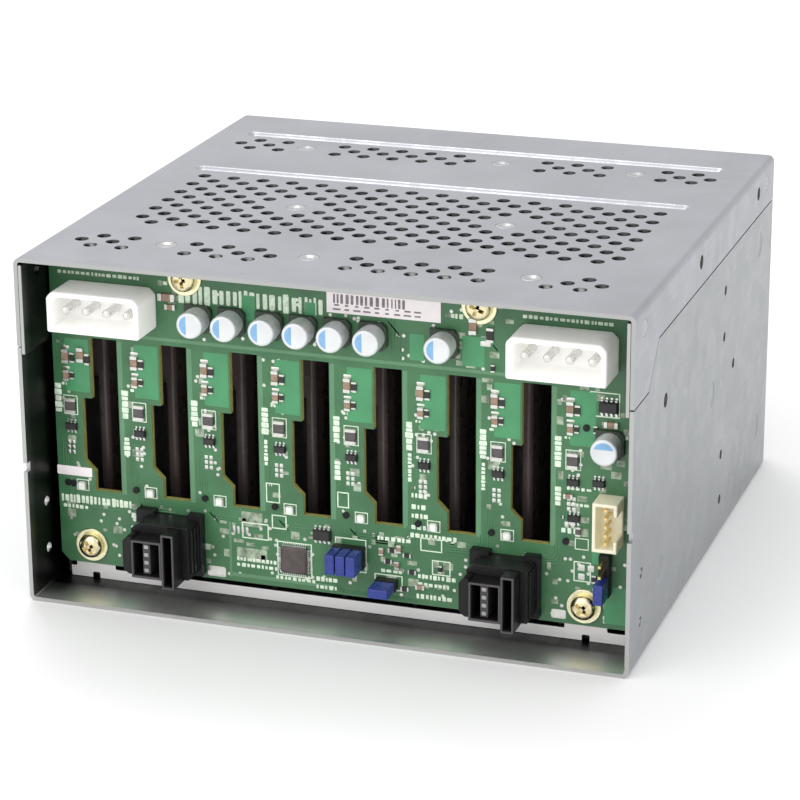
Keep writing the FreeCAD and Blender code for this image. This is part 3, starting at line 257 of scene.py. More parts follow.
def moulded(name, colour, gloss, patch=9.0, uneven=0.12, grain_depth=0.02, shine=0.5, depth=0.0,
            painted_glow=0.0):
    """Return the finish of a moulded plastic: uneven colour and gloss over a fine grain.

    The depth, in millimetres, is for pale plastics that light gets into; the painted glow is an emission in
    the plastic's own colour that paints light into them.
    """
    material, tree, shader, place = start_finish(name)
    for socket, value in (("Specular IOR Level", shine), ("Subsurface Weight", SCATTER if depth else 0.0),
                          ("Subsurface Scale", depth * MM), ("Subsurface Radius", SCATTER_COLOUR),
                          ("Emission Color", rgba(colour)), ("Emission Strength", painted_glow)):
        shader.inputs[socket].default_value = value
    dark, light = scaled(colour, 1 - uneven), scaled(colour, 1 + uneven)
    coloured(tree, shader, place, patch, dark, light, gloss, patch / 3)
    grain(tree, shader, noise(tree, place, MOULD_GRAIN), grain_depth)
    return material


def plated(name, colour, gloss, patch, uneven, metal):
    """Return the finish of a small plated or bare metal part."""
    material, tree, shader, place = start_finish(name, metallic=metal)
    coloured(tree, shader, place, patch, scaled(colour, 1 - uneven), colour, gloss, patch / 2)
    grain(tree, shader, noise(tree, place, METAL_GRAIN, stretch=(1.0, 1.0, 3.0)), METAL_GRAIN_DEPTH)
    return material


# %% Zinc plated sheet
# Painted shade: the inner faces of the case, the underside of the cover and the lower part of its holes take
# this near-black colour. WALL_DARK is the share of it at the open edge of the walls.
INSIDE_PAINTED_SHADE = (0.010, 0.010, 0.009)
# Painted light: the upward face of the floor plate is painted almost white, and the painted shade darkens it
# again away from the open edge.
FLOOR_PAINTED_LIGHT = (0.95, 0.94, 0.93)
# A painted highlight on the sunk faces of the cover's beads.
BEAD_PAINTED_HIGHLIGHT = (0.42, 0.43, 0.46)
WALL_DARK = 0.72
PRESSED = 0.15
BEAD_REACH = 3.5
SPANGLE = 5.0
SPANGLE_SHARE = 0.16
ROLLING = 0.5
CLOUD = 24.0
sheet_low, sheet_high = box_mm("chassis_shell")
cover_top = box_mm("top_cover")[1].z


def painted_inside_shade(tree, place, normal_z, end):
    """Return how far a point is inside the case, as the share of painted shade there: all of it on the walls
    and under the cover, fading in over the floor.
    """
    at_x, at_y, at_z = add(tree, "ShaderNodeSeparateXYZ", {0: place}).outputs
    outer_x, rear_y = sheet_high.x, sheet_low.y
    inside = times(tree, spread(tree, calc(tree, "ABSOLUTE", at_x), 1.0, 0.0, outer_x - 0.9, outer_x - 0.5),
                   spread(tree, at_z, 0.0, 1.0, 0.4, 0.8),
                   spread(tree, at_z, 1.0, 0.0, cover_top - 0.6, cover_top - 0.2))
    wall = spread(tree, at_y, WALL_DARK, 1.0, rear_y + 0.4, rear_y + 3.5)
    floor_fade = spread(tree, at_y, 0.0, 1.0, rear_y + 1.5, rear_y + 10.5)
    is_floor = spread(tree, normal_z, 0.0, 1.0, 0.6, 0.8)
    fade = got(tree, "ShaderNodeMix", {"Factor": is_floor, "A": wall, "B": floor_fade})
    return times(tree, inside, fade, calc(tree, "SUBTRACT", 1.0, end))


def bead_highlight_share(tree, place, normal_z):
    """Return where the cover's beads and seats are sunk: a highlight is painted there."""
    at_x, _, at_z = add(tree, "ShaderNodeSeparateXYZ", {0: place}).outputs
    sunk = spread(tree, at_z, 1.0, 0.0, cover_top - PRESSED, cover_top - PRESSED / 3)
    sunk = times(tree, sunk, spread(tree, at_z, 0.0, 1.0, cover_top - 1.5, cover_top - 1.2))
    reach = sheet_high.x - BEAD_REACH
    flat = spread(tree, calc(tree, "ABSOLUTE", at_x), 1.0, 0.0, reach - 0.5, reach)
    return times(tree, sunk, flat, spread(tree, normal_z, 0.0, 1.0, 0.2, 0.5))

# %% Zinc finish with spangles and rolling lines
def zinc_sheet(name, colour, cut_edge, metal=0.96):
    """Return the finish of zinc plated sheet: faint spangles, rolling lines, painted shade inside, painted
    light on the floor and a painted highlight on the beads.
    """
    material, tree, shader, place = start_finish(name, metallic=metal)
    cells = add(tree, "ShaderNodeTexVoronoi", {"Vector": place, "Scale": 1 / SPANGLE, "Randomness": 1.0})
    cell = got(tree, "ShaderNodeSeparateColor", {0: cells.outputs["Color"]})
    lines = noise(tree, place, ROLLING, detail=3.0, stretch=(1.0, 0.03, 1.0))
    cloud = spread(tree, noise(tree, place, CLOUD, detail=3.0), 0.0, 1.0)
    tint = blend_colour(tree, cloud, scaled(colour, 0.90), scaled(colour, 1.06))
    tint = blend_colour(tree, times(tree, cell, SPANGLE_SHARE), tint, scaled(colour, 1.15))
    normal = add(tree, "ShaderNodeTexCoord").outputs["Normal"]
    _, normal_y, normal_z = add(tree, "ShaderNodeSeparateXYZ", {0: normal}).outputs
    end = spread(tree, calc(tree, "ABSOLUTE", normal_y), 0.0, 1.0, 0.80, 0.95)
    height = add(tree, "ShaderNodeSeparateXYZ", {0: place}).outputs["Z"]
    # The floor's upward face takes the painted light.
    floor = times(tree, spread(tree, normal_z, 0.0, 1.0, 0.6, 0.8), spread(tree, height, 1.0, 0.0, 1.2, 2.0),
                  spread(tree, height, 0.0, 1.0, 0.5, 0.9))
    for share, paint in ((end, cut_edge), (floor, FLOOR_PAINTED_LIGHT),
                         (painted_inside_shade(tree, place, normal_z, end), INSIDE_PAINTED_SHADE),
                         (bead_highlight_share(tree, place, normal_z), BEAD_PAINTED_HIGHLIGHT)):
        tint = blend_colour(tree, share, tint, paint)
    tree.links.new(tint, shader.inputs["Base Color"])
    rough = calc(tree, "ADD", spread(tree, cell, 0.34, 0.44, 0.0, 1.0), spread(tree, lines, -0.03, 0.04))
    tree.links.new(rough, shader.inputs["Roughness"])
    grain(tree, shader, calc(tree, "MULTIPLY_ADD", lines, 0.5, noise(tree, place, 0.7)), 0.006)
    return material


case_zinc = zinc_sheet("case_zinc", (0.345, 0.360, 0.372), (0.46, 0.46, 0.45))
# The lip and the tabs that carry the board are the same zinc, painted almost white and made less metallic as
# a painted highlight. Their faces across Y take the near-white edge colour.
lip_zinc_painted_bright = zinc_sheet("lip_zinc_painted_bright", (0.86, 0.86, 0.85), (0.97, 0.96, 0.95), metal=0.3)
cover_zinc = zinc_sheet("cover_zinc", (0.375, 0.385, 0.415), (0.42, 0.43, 0.42))

# %% [markdown]
# A circuit board shows three things: the glossy green mask on its faces, the yellowish glass
# cloth at its cut edges, and a hint of copper under the mask. The coordinate's own normal tells
# a face from an edge, so one material dresses the whole board without any unwrapping.

# %% Circuit board, copper, pads and print
WEAVE_GREEN = (0.08, 0.26, 0.12)
CLOTH_DARK = (0.20, 0.19, 0.035)
CLOTH_LIGHT = (0.52, 0.50, 0.16)


def board_mask(name, colour, lift):
    """Return the green mask; lift makes it paler where copper lies under it."""
    material, tree, shader, place = start_finish(name)
    normal = add(tree, "ShaderNodeTexCoord").outputs["Normal"]
    across = add(tree, "ShaderNodeSeparateXYZ", {0: normal}).outputs["Y"]
    edge = spread(tree, calc(tree, "ABSOLUTE", across), 1.0, 0.0, 0.55, 0.75)
    weave = times(tree, *(add(tree, "ShaderNodeTexWave", {"Vector": place, "Scale": 0.55, "Distortion": 0.6},
                              bands_direction=axis).outputs["Fac"] for axis in "XZ"))
    mottle = spread(tree, noise(tree, place, 7.0, 3.0), 0.0, 1.0)
    green = blend_colour(tree, mottle, colour, scaled(colour, lift))
    green = blend_colour(tree, times(tree, weave, 0.10), green, WEAVE_GREEN)
    layers = noise(tree, place, 0.35, stretch=(0.2, 2.5, 0.2))
    cloth = blend_colour(tree, spread(tree, layers, 0.0, 1.0), CLOTH_DARK, CLOTH_LIGHT)
    tree.links.new(blend_colour(tree, edge, green, cloth), shader.inputs["Base Color"])
    tree.links.new(spread(tree, edge, 0.30, 0.75, 0.0, 1.0), shader.inputs["Roughness"])
    grain(tree, shader, weave, 0.004)
    return material


finish = {name: board_mask(name + "_finish", colour, lift) for name, colour, lift in (
    ("mask", (0.044, 0.142, 0.060), 1.35), ("pour", (0.058, 0.262, 0.112), 1.22),
    ("trace", (0.046, 0.170, 0.076), 1.25), ("strip", (0.100, 0.235, 0.122), 1.2))}

# %% Plastics, print and paper
# Each row gives the name, the colour, the range of gloss, the size of the patches, how uneven
# they are, and what else the finish needs.
# The painted glow is emission that lifts the nylon, the cream plastic and the label: painted light in place
# of light that scatters into them.
PLASTICS = (
    ("patch", (0.30, 0.37, 0.27), (0.45, 0.65), 1.6, 0.55, {}),
    ("print", (0.74, 0.87, 0.70), (0.5, 0.7), 1.2, 0.16, {}),
    ("nylon", (0.93, 0.92, 0.89), (0.30, 0.42), 6.0, 0.04, {"depth": 3.0, "painted_glow": 0.17}),
    ("cream", (0.90, 0.84, 0.62), (0.32, 0.45), 3.0, 0.06, {"depth": 2.0, "painted_glow": 0.08}),
    ("black", (0.009, 0.008, 0.009), (0.32, 0.5), 9.0, 0.3, {"shine": 0.3}),
    ("can_base", (0.052, 0.070, 0.052), (0.4, 0.55), 9.0, 0.2, {"shine": 0.3}),
    ("blue", (0.026, 0.045, 0.26), (0.24, 0.34), 3.0, 0.1, {"grain_depth": 0.005}),
    ("can_blue", (0.22, 0.44, 0.70), (0.25, 0.4), 1.5, 0.1, {}),
    ("chip", (0.022, 0.020, 0.021), (0.45, 0.6), 1.5, 0.25, {}),
    ("controller", (0.085, 0.068, 0.066), (0.45, 0.6), 2.5, 0.2, {}),
    ("resistor", (0.020, 0.018, 0.020), (0.2, 0.35), 0.8, 0.2, {}),
    ("ceramic", (0.33, 0.22, 0.15), (0.35, 0.5), 0.8, 0.2, {}),
    ("grey", (0.090, 0.080, 0.082), (0.35, 0.5), 0.8, 0.2, {}),
    ("lens", (0.86, 0.90, 0.84), (0.12, 0.2), 1.0, 0.05, {}),
    ("window", (0.34, 0.46, 0.40), (0.12, 0.2), 1.0, 0.08, {"depth": 1.0}),
    ("label", (0.93, 0.87, 0.88), (0.5, 0.65), 3.0, 0.05, {"painted_glow": 0.08}),
    ("ink", (0.26, 0.21, 0.23), (0.5, 0.65), 1.0, 0.3, {}),
    ("tray", (0.030, 0.030, 0.033), (0.42, 0.58), 9.0, 0.2, {"grain_depth": 0.03}),
    ("lever", (0.040, 0.040, 0.044), (0.38, 0.52), 9.0, 0.2, {"grain_depth": 0.03}),
    ("button", (0.27, 0.018, 0.026), (0.25, 0.38), 3.0, 0.12, {}),
    ("guide", (0.035, 0.035, 0.038), (0.42, 0.55), 9.0, 0.2, {}),
    ("blank", (0.115, 0.090, 0.086), (0.24, 0.36), 14.0, 0.2, {}),
    ("tongue", (0.040, 0.037, 0.040), (0.35, 0.5), 9.0, 0.3, {}))
for name, colour, gloss, patch, uneven, more in PLASTICS:
    finish[name] = moulded(name + "_finish", colour, gloss, patch, uneven, **more)
paper_white = moulded("paper_white", (0.92, 0.92, 0.92), (0.6, 0.8), 300.0, 0.02)
studio_floor.data.materials.append(paper_white)

# %% Small metal parts
# Each row gives the same as above and ends with how metallic the finish is.
METALS = (
    ("rivet", (0.50, 0.50, 0.51), (0.28, 0.40), 2.5, 0.08, 1.0),
    ("solder", (0.72, 0.72, 0.68), (0.25, 0.45), 0.6, 0.08, 1.0),
    ("gold", (0.86, 0.66, 0.30), (0.2, 0.35), 0.8, 0.08, 1.0),
    ("can", (0.76, 0.78, 0.79), (0.42, 0.52), 3.0, 0.08, 0.35),
    ("brass", (0.88, 0.78, 0.50), (0.18, 0.30), 1.8, 0.12, 1.0),
    ("washer", (0.90, 0.86, 0.58), (0.24, 0.38), 2.2, 0.10, 1.0),
    ("pin", (0.76, 0.76, 0.74), (0.2, 0.32), 1.5, 0.08, 1.0),
    ("frame", (0.12, 0.11, 0.12), (0.35, 0.5), 2.0, 0.08, 1.0),
    ("contact", (0.42, 0.41, 0.40), (0.3, 0.45), 0.8, 0.08, 1.0))
for name, colour, gloss, patch, uneven, metal in METALS:
    finish[name] = plated(name + "_finish", colour, gloss, patch, uneven, metal)
print("finishes:", len(bpy.data.materials))

# %% [markdown]
# ## Sheet metal
# The case and its cover are one millimetre sheet that is punched flat and then folded. The
# script makes them in the same order. A Geometry Nodes tree takes the outline of each flat side
# and a point for every hole, puts a circle on each point and fills what lies between, so the
# perforation follows a rule and a hole is moved by moving its point. Folds and pressed forms
# join the flat sides, and a Solidify modifier then gives the whole skin its thickness. Boolean
# cuts would do too, but three hundred of them are slow and leave a poor mesh.

# %% Helpers for geometry trees
def geo(tree, kind, feeds=None, **settings):
    """Add a geometry node and return its first output."""
    return got(tree, "GeometryNode" + kind, feeds, **settings)


def joined(tree, *parts):
    """Return several geometries as one."""
    both = tree.nodes.new("GeometryNodeJoinGeometry")
    for part in parts:
        tree.links.new(part, both.inputs[0])
    return both.outputs[0]


def painted(tree, geometry, material):
    """Return a geometry with its material set."""
    return geo(tree, "SetMaterial", {"Geometry": geometry, "Material": material})


def start_tree(name, **sizes):
    """Start a geometry tree with a mesh input and named number inputs."""
    tree = bpy.data.node_groups.new(name, "GeometryNodeTree")
    tree.interface.new_socket("Mesh", in_out="INPUT", socket_type="NodeSocketGeometry")
    for label, value in sizes.items():
        kind = "NodeSocketInt" if isinstance(value, int) else "NodeSocketFloat"
        socket = tree.interface.new_socket(label, in_out="INPUT", socket_type=kind)
        socket.default_value = value
    tree.interface.new_socket("Mesh", in_out="OUTPUT", socket_type="NodeSocketGeometry")
    return tree, tree.nodes.new("NodeGroupInput").outputs


def attribute(tree, name, kind="FLOAT"):
    """Return a named attribute of the points."""
    return add(tree, "GeometryNodeInputNamedAttribute", {"Name": name}, data_type=kind).outputs["Attribute"]


def finish_tree(tree, geometry, material=None):
    """End a tree: make the instances real and set the material, unless its parts have their own."""
    geometry = geo(tree, "RealizeInstances", {0: geometry})
    add(tree, "NodeGroupOutput", {0: painted(tree, geometry, material) if material else geometry})
    return tree


def applied(piece):
    """Turn a piece's modifiers into plain mesh and return the mesh."""
    graph = bpy.context.evaluated_depsgraph_get()
    mesh = bpy.data.meshes.new_from_object(piece.evaluated_get(graph), depsgraph=graph)
    piece.modifiers.clear()
    piece.data = mesh
    return mesh


def grow(name, base, tree):
    """Run a tree on a base mesh and return the result as a plain mesh."""
    seed = new_object(name + "_seed", base)
    seed.modifiers.new("tree", "NODES").node_group = tree
    mesh = applied(seed)
    mesh.name = name
    bpy.data.objects.remove(seed)
    return mesh


def points(name, spots, edges=(), **attributes):
    """Return a mesh of points, in metres from millimetres, with attributes for the tree."""
    mesh = bpy.data.meshes.new(name)
    mesh.from_pydata([Vector(spot) * MM for spot in spots], edges, [])
    for label, values in attributes.items():
        if isinstance(values[0], (tuple, Vector)):
            layer = mesh.attributes.new(label, "FLOAT_VECTOR", "POINT")
            layer.data.foreach_set("vector", [channel for value in values for channel in value])
        else:
            layer = mesh.attributes.new(label, "FLOAT", "POINT")
            layer.data.foreach_set("value", values)
    return mesh


# %% Geometry tree that punches a flat sheet
HOLE_SIDES = 18


def punch_tree(name, material):
    """Return the tree that fills an outline and leaves a round hole at each marked point."""
    tree, inputs = start_tree(name, Hole_Sides=HOLE_SIDES)
    outline = geo(tree, "MeshToCurve", {"Mesh": inputs["Mesh"]})
    radius = attribute(tree, "hole_radius")
    is_hole = got(tree, "FunctionNodeCompare", {0: radius, 1: 0.0}, operation="GREATER_THAN")
    circle = geo(tree, "CurvePrimitiveCircle", {"Resolution": inputs["Hole_Sides"], "Radius": 1.0})
    feeds = {"Points": inputs["Mesh"], "Selection": is_hole, "Instance": circle, "Scale": radius}
    circles = geo(tree, "RealizeInstances", {0: geo(tree, "InstanceOnPoints", feeds)})
    sheet = geo(tree, "FillCurve", {"Curve": joined(tree, circles, outline)})
    return finish_tree(tree, sheet, material)


cover_punch = punch_tree("cover_punch", cover_zinc)
lip_punch = punch_tree("lip_punch", lip_zinc_painted_bright)
case_punch = punch_tree("case_punch", case_zinc)


def loop_edges(start, count):
    """Return the edges of a closed loop of points."""
    return [(start + number, start + (number + 1) % count) for number in range(count)]


def punched(tree, outlines, holes):
    """Return a flat filled sheet from closed outlines and (x, y, radius) holes, in millimetres."""
    spots, edges = [], []
    for outline in outlines:
        edges += loop_edges(len(spots), len(outline))
        spots += [(x, y, 0.0) for x, y in outline]
    radii = [0.0] * len(spots) + [radius * MM for _, _, radius in holes]
    spots += [(x, y, 0.0) for x, y, _ in holes]
    return grow("flat", points("flat_seed", spots, edges, hole_radius=radii), tree)


# %% Skins that are folded and pressed
UP, DOWN, RIGHT, LEFT = (0, 0, 1), (0, 0, -1), (1, 0, 0), (-1, 0, 0)
BACK, FORWARD = (0, -1, 0), (0, 1, 0)
PRESS_PROFILE = ((0.0, 0.0), (0.12, 0.06), (0.35, 0.38), (0.55, 0.78), (0.78, 0.97), (1.0, 1.0))
FOLD_STEPS = 6
ROUND_STEPS = 9
SHEET_EDGE = 0.12
WELD_SKIN = 0.004
SMOOTH_ANGLE = 35.0
SKIN_EDGE_ANGLE = 50.0
MOULDING_EDGE_ANGLE = 40.0


class Skin:
    """The outside face of a folded sheet, put together from flat sides, folds and pressings."""

    def __init__(self):
        self.form = bmesh.new()

    def side(self, tree, outlines, holes, place):
        """Add a flat side; place takes its plan, in metres, into the case."""
        flat = punched(tree, outlines, holes)
        flat.transform(place)
        self.form.from_mesh(flat)
        self.material = flat.materials[0]

    def strip(self, first, second):
        """Add one strip between two lines of points, in millimetres."""
        ends = [[self.form.verts.new(Vector(spot) * MM) for spot in line] for line in (first, second)]
        for number in range(len(first) - 1):
            self.form.faces.new((ends[0][number], ends[0][number + 1], ends[1][number + 1], ends[1][number]))

    def fold(self, centre, radius, start, end, along):
        """Add a fold about a line along Y; the angles are in degrees from +X towards +Z."""
        rows = []
        for step in range(FOLD_STEPS + 1):
            angle = math.radians(start + (end - start) * step / FOLD_STEPS)
            x = centre[0] + radius * math.cos(angle)
            z = centre[1] + radius * math.sin(angle)
            rows.append([(x, y, z) for y in along])
        for low, high in zip(rows, rows[1:]):
            self.strip(low, high)

    def pressing(self, middle, half_length, radius, slope, depth, place):
        """Add a sunk form with round ends, which fills a hole of the same outline."""
        rings = []
        for inwards, drop in PRESS_PROFILE:
            outline = stadium(middle, half_length, radius - inwards * slope)
            rings.append([self.form.verts.new(place @ (Vector((x, y, -drop * depth)) * MM))
                          for x, y in outline])
        count = len(rings[0])
        for outer, inner in zip(rings, rings[1:]):
            for number in range(count):
                after = (number + 1) % count
                self.form.faces.new((outer[number], outer[after], inner[after], inner[number]))
        self.form.faces.new(rings[-1])

    def solid(self, name, thickness, outside, soft=SHEET_EDGE):
        """Weld the skin, turn its face to the outside, give it its thickness and return the piece."""
        bmesh.ops.remove_doubles(self.form, verts=self.form.verts, dist=WELD_SKIN * MM)
        bmesh.ops.recalc_face_normals(self.form, faces=self.form.faces)
        facing = sum((face.normal * face.calc_area() for face in self.form.faces), Vector())
        if facing.dot(Vector(outside)) < 0:
            bmesh.ops.reverse_faces(self.form, faces=self.form.faces)
        for face in self.form.faces:
            face.material_index = 0
        piece = new_object(name, made_mesh(name, self.form, [self.material]))
        wall = piece.modifiers.new("wall", "SOLIDIFY")
        wall.thickness = thickness * MM
        wall.offset = -1.0
        wall.use_even_offset = True
        round_over(piece, soft, 1, SKIN_EDGE_ANGLE)
        return baked(piece)

# %% Helpers that finish a piece
def stadium(middle, half_length, radius):
    """Return the outline of a long form with round ends, in its own plane."""
    outline = []
    for side in (1, -1):
        for step in range(ROUND_STEPS + 1):
            angle = math.radians(side * 90.0 - 180.0 * step / ROUND_STEPS)
            x = middle[0] + side * half_length + radius * math.cos(angle)
            outline.append((x, middle[1] + radius * math.sin(angle)))
    return outline


def round_over(piece, width, segments, angle):
    """Give a piece's sharp edges a small round."""
    bevel = piece.modifiers.new("round", "BEVEL")
    bevel.width = width * MM
    bevel.segments = segments
    bevel.limit_method = "ANGLE"
    bevel.angle_limit = math.radians(angle)
    bevel.miter_outer = "MITER_ARC"


def smoothed(piece):
    """Shade a piece smooth, except across edges that are sharper than the limit, and return it."""
    piece.data.shade_smooth()
    piece.data.set_sharp_from_angle(angle=math.radians(SMOOTH_ANGLE))
    return piece


def baked(piece):
    """Turn a piece's modifiers into plain mesh, shade it and return it.

    The weighted normals keep big flat faces flat beside the small rounds.
    """
    applied(piece)
    smoothed(piece).modifiers.new("flat_faces", "WEIGHTED_NORMAL").keep_sharp = True
    applied(piece)
    return piece


def put(piece, finish_slot, body, *replaced):
    """Let a finished piece ride on its body and hide the solids it stands for; the finish slot is not used.
    """
    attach(piece, body)
    if replaced:
        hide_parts(*replaced)
    print(f"{piece.name}: {len(piece.data.polygons)} faces on {body}")


# %% Sizes of the sheet metal
SHEET = 1.0
FOLD_RADIUS = 1.6
FLANGE_DROP = 11.3
FLANGE_REAR_DROP = 21.2
FLANGE_REAR_LENGTH = 13.0
FLANGE_SLOPE_LENGTH = 8.5
SEAM_GAP = 0.35
LEAF_LAP = 1.6
cover_low, cover_high = box_mm("top_cover")
half_width = cover_high.x
case_top = cover_high.z
rear, front = cover_low.y, cover_high.y
fold_x = half_width - FOLD_RADIUS
fold_z = case_top - FOLD_RADIUS
ceiling = case_top - SHEET
seam_low = case_top - FLANGE_REAR_DROP
seam_high = case_top - FLANGE_DROP
seam_ends = (rear + FLANGE_REAR_LENGTH, rear + FLANGE_REAR_LENGTH + FLANGE_SLOPE_LENGTH)
flange_plan = Matrix(((0, 0, 1, half_width * MM), (1, 0, 0, 0), (0, 1, 0, 0), (0, 0, 0, 1)))
top_plan = Matrix.Translation((0, 0, case_top * MM))
as_is = Matrix.Identity(4)
both_sides = (as_is, Matrix.Scale(-1, 4, (1, 0, 0)))
flat_outline = [(-fold_x, rear), (fold_x, rear), (fold_x, front), (-fold_x, front)]


def seam(shift):
    """Return the (y, z) line between the cover's flange and the wall, moved up by a shift."""
    low, high = seam_low + shift, seam_high + shift
    return [(rear, low), (seam_ends[0], low), (seam_ends[1], high), (front, high)]


def board_plan(x, y, z):
    """Return the matrix that takes a plan in the board's own plane to a place, in millimetres."""
    return Matrix(((1, 0, 0, x * MM), (0, 0, 1, y * MM), (0, 1, 0, z * MM), (0, 0, 0, 1)))


# %% Vents, rivets and beads of the cover
VENT_RADIUS = 1.65
VENT_PITCH = 7.8
MAIN_ROWS, MAIN_START = 12, 36.9
MAIN_SPANS = ((-60.0, 60.0),)
EDGE_ROWS = 3
REAR_START, REAR_SHIFT = 15.0, 1.9
REAR_SPANS = ((-66.0, -51.0), (-38.5, -16.5), (1.0, 34.0), (48.0, 62.0))
FRONT_SHIFT = -3.5
FRONT_SPANS = ((-62.5, -48.0), (-36.0, 2.0), (19.0, 36.5), (50.0, 64.0))
RIVET_SEAT = 2.42
RIVET_CLEAR = 6.2
BAY_COUNT = 8
BAY_WIDTH = 17.5
bays_left = -BAY_COUNT * BAY_WIDTH / 2
bar_places = (rear + 20.5, rear + 59.0, front - 28.5)
RIVET_BAYS = ((1, 3, 6), (2, 5), (1, 4, 6))
rivet_spots = [(bays_left + (bay + 0.5) * BAY_WIDTH, y)
               for y, bays in zip(bar_places, RIVET_BAYS) for bay in bays]
bead_places = (rear + 87.0, front - 18.5)
BEAD_HALF_LENGTH = 62.0
BEAD_RADIUS = 2.3
BEAD_SLOPE = 2.0
BEAD_DEPTH = 0.85
VENT_COLUMNS = range(-15, 15)


def vent_rows(first_y, rows, spans, shift):
    """Return the vents of one staggered group that fall inside its spans."""
    spots = []
    for row in range(rows):
        y = first_y + row * VENT_PITCH / 2
        for column in VENT_COLUMNS:
            x = shift + (column + (row % 2) / 2) * VENT_PITCH
            if any(low <= x <= high for low, high in spans):
                spots.append((x, y))
    return [s for s in spots if all(math.dist(s, rivet) > RIVET_CLEAR for rivet in rivet_spots)]


vents = vent_rows(rear + MAIN_START, MAIN_ROWS, MAIN_SPANS, 0.0)
vents += vent_rows(rear + REAR_START, EDGE_ROWS, REAR_SPANS, REAR_SHIFT)
vents += vent_rows(bar_places[2] - VENT_PITCH / 2, EDGE_ROWS, FRONT_SPANS, FRONT_SHIFT)
print("vents:", len(vents), "rivets in the cover:", len(rivet_spots))

# %% [markdown]
# ## Cover
# The cover is one sheet: a perforated top with two long pressed beads, a fold along each side
# and a flange that steps down at the board end. Two small tabs hang behind the board for its
# upper screws. The flat top comes from the punching tree, and the rest is added round it.

# %% Cover
SIDE_HOLE = 1.7
FLANGE_HOLE_DROP = 5.5
FLANGE_RIVET_DROP = 5.0
COVER_RIVET_SEAT = 1.93
flange_holes = [(rear + y, case_top - FLANGE_HOLE_DROP, SIDE_HOLE) for y in (61.5, 124.0)]
flange_rivets = [(y, case_top - FLANGE_RIVET_DROP) for y in (rear + 8.0, front - 9.0)]
cover_skin = Skin()
bead_outlines = [stadium((0.0, y), BEAD_HALF_LENGTH, BEAD_RADIUS) for y in bead_places]
top_holes = [(x, y, VENT_RADIUS) for x, y in vents] + [(x, y, RIVET_SEAT) for x, y in rivet_spots]
cover_skin.side(cover_punch, [flat_outline] + bead_outlines, top_holes, top_plan)
for y in bead_places:
    cover_skin.pressing((0.0, y), BEAD_HALF_LENGTH, BEAD_RADIUS, BEAD_SLOPE, BEAD_DEPTH, top_plan)
flange_outline = seam(0.0) + [(front, fold_z), (rear, fold_z)]
seats = [(y, z, COVER_RIVET_SEAT) for y, z in flange_rivets]
for turn in both_sides:
    cover_skin.side(cover_punch, [flange_outline], flange_holes + seats, turn @ flange_plan)
cover_skin.fold((fold_x, fold_z), FOLD_RADIUS, 0.0, 90.0, (rear, front))
cover_skin.fold((-fold_x, fold_z), FOLD_RADIUS, 180.0, 90.0, (rear, front))
cover_sheet = cover_skin.solid("cover_sheet", SHEET, UP)

# %% Tabs that hang from the cover behind the board
board_low, board_high = box_mm("backplane_board")
TAB_WIDTH = 10.3
TAB_OVERLAP = 4.2
TAB_CORNER = 1.0
SCREW_HOLE = 1.5
UPPER_INSETS, UPPER_DROP = (34.1, 36.6), 3.0
LOWER_INSETS, LOWER_RISE = (8.1, 11.6), 4.8
board_half = board_high.x
upper_screws = [(UPPER_INSETS[0] - board_half, board_high.z - UPPER_DROP),
                (board_half - UPPER_INSETS[1], board_high.z - UPPER_DROP)]
lower_screws = [(LOWER_INSETS[0] - board_half, board_low.z + LOWER_RISE),
                (board_half - LOWER_INSETS[1], board_low.z + LOWER_RISE)]
behind_board = board_plan(0.0, board_high.y + SHEET, 0.0)


def tab_line(x, root, tip):
    """Return the line round a tab with two cut corners, from its left root to its right one."""
    half = TAB_WIDTH / 2
    shoulder = tip + math.copysign(TAB_CORNER, root - tip)
    return [(x - half, root), (x - half, shoulder), (x - half + TAB_CORNER, tip),
            (x + half - TAB_CORNER, tip), (x + half, shoulder), (x + half, root)]


tabs = Skin()
for x, z in upper_screws:
    tabs.side(cover_punch, [tab_line(x, ceiling, z - TAB_OVERLAP)], [(x, z, SCREW_HOLE)], behind_board)
cover_tabs = tabs.solid("cover_tabs", SHEET, FORWARD)

# %% Cover and its tabs as one piece
def join_pieces(name, pieces):
    """Return one piece made of several, with their places and finishes kept."""
    form = bmesh.new()
    finishes = []
    for piece in pieces:
        lowest = len(form.faces)
        form.from_mesh(piece.data)
        form.faces.ensure_lookup_table()
        lookup = []
        for material in piece.data.materials:
            if material not in finishes:
                finishes.append(material)
            lookup.append(finishes.index(material))
        for face in form.faces[lowest:]:
            face.material_index = lookup[face.material_index] if lookup else 0
        bpy.data.objects.remove(piece)
    return new_object(name, made_mesh(name, form, finishes))


put(join_pieces("perforated_cover", [cover_sheet, cover_tabs]), "zinc_plated_cover", "cage", "top_cover")

# %% [markdown]
# ## Case
# The lower half is a U of the same sheet: a floor, two side walls with the screw holes for the
# bays of a computer case, and a leaf on each wall that is set in by one thickness, so that the
# cover's flange lies flush over it. Shallow round embosses are pressed into the walls.

# %% Case
BAY_SCREW = 1.25
BAY_STEP = 42.3
SMALL_HOLE = 1.3
SCREW_ROWS = (10.0, 21.84)
COLUMN_START, COLUMN_STEP = 9.5, 79.25
screw_columns = (rear + COLUMN_START, rear + COLUMN_START + COLUMN_STEP)
EMBOSS_RADIUS = 3.5
EMBOSS_DEPTH = 0.25
EMBOSS_SLOPE = 0.8
embosses = [(rear + y, z) for y, z in ((76.5, 41.5), (127.0, 65.0), (130.0, 15.0), (27.0, 16.0))]
wall_holes = [(y, z, BAY_SCREW) for y in screw_columns for z in SCREW_ROWS]
wall_holes += [(screw_columns[1], z + BAY_STEP, BAY_SCREW) for z in SCREW_ROWS]
wall_holes += [(rear + 29.0, 56.0, SIDE_HOLE), (rear + 100.0, 42.0, SMALL_HOLE)]
NOTCH_MIDDLE, NOTCH_HALF, NOTCH_DEPTH = 33.5, 1.1, 1.6
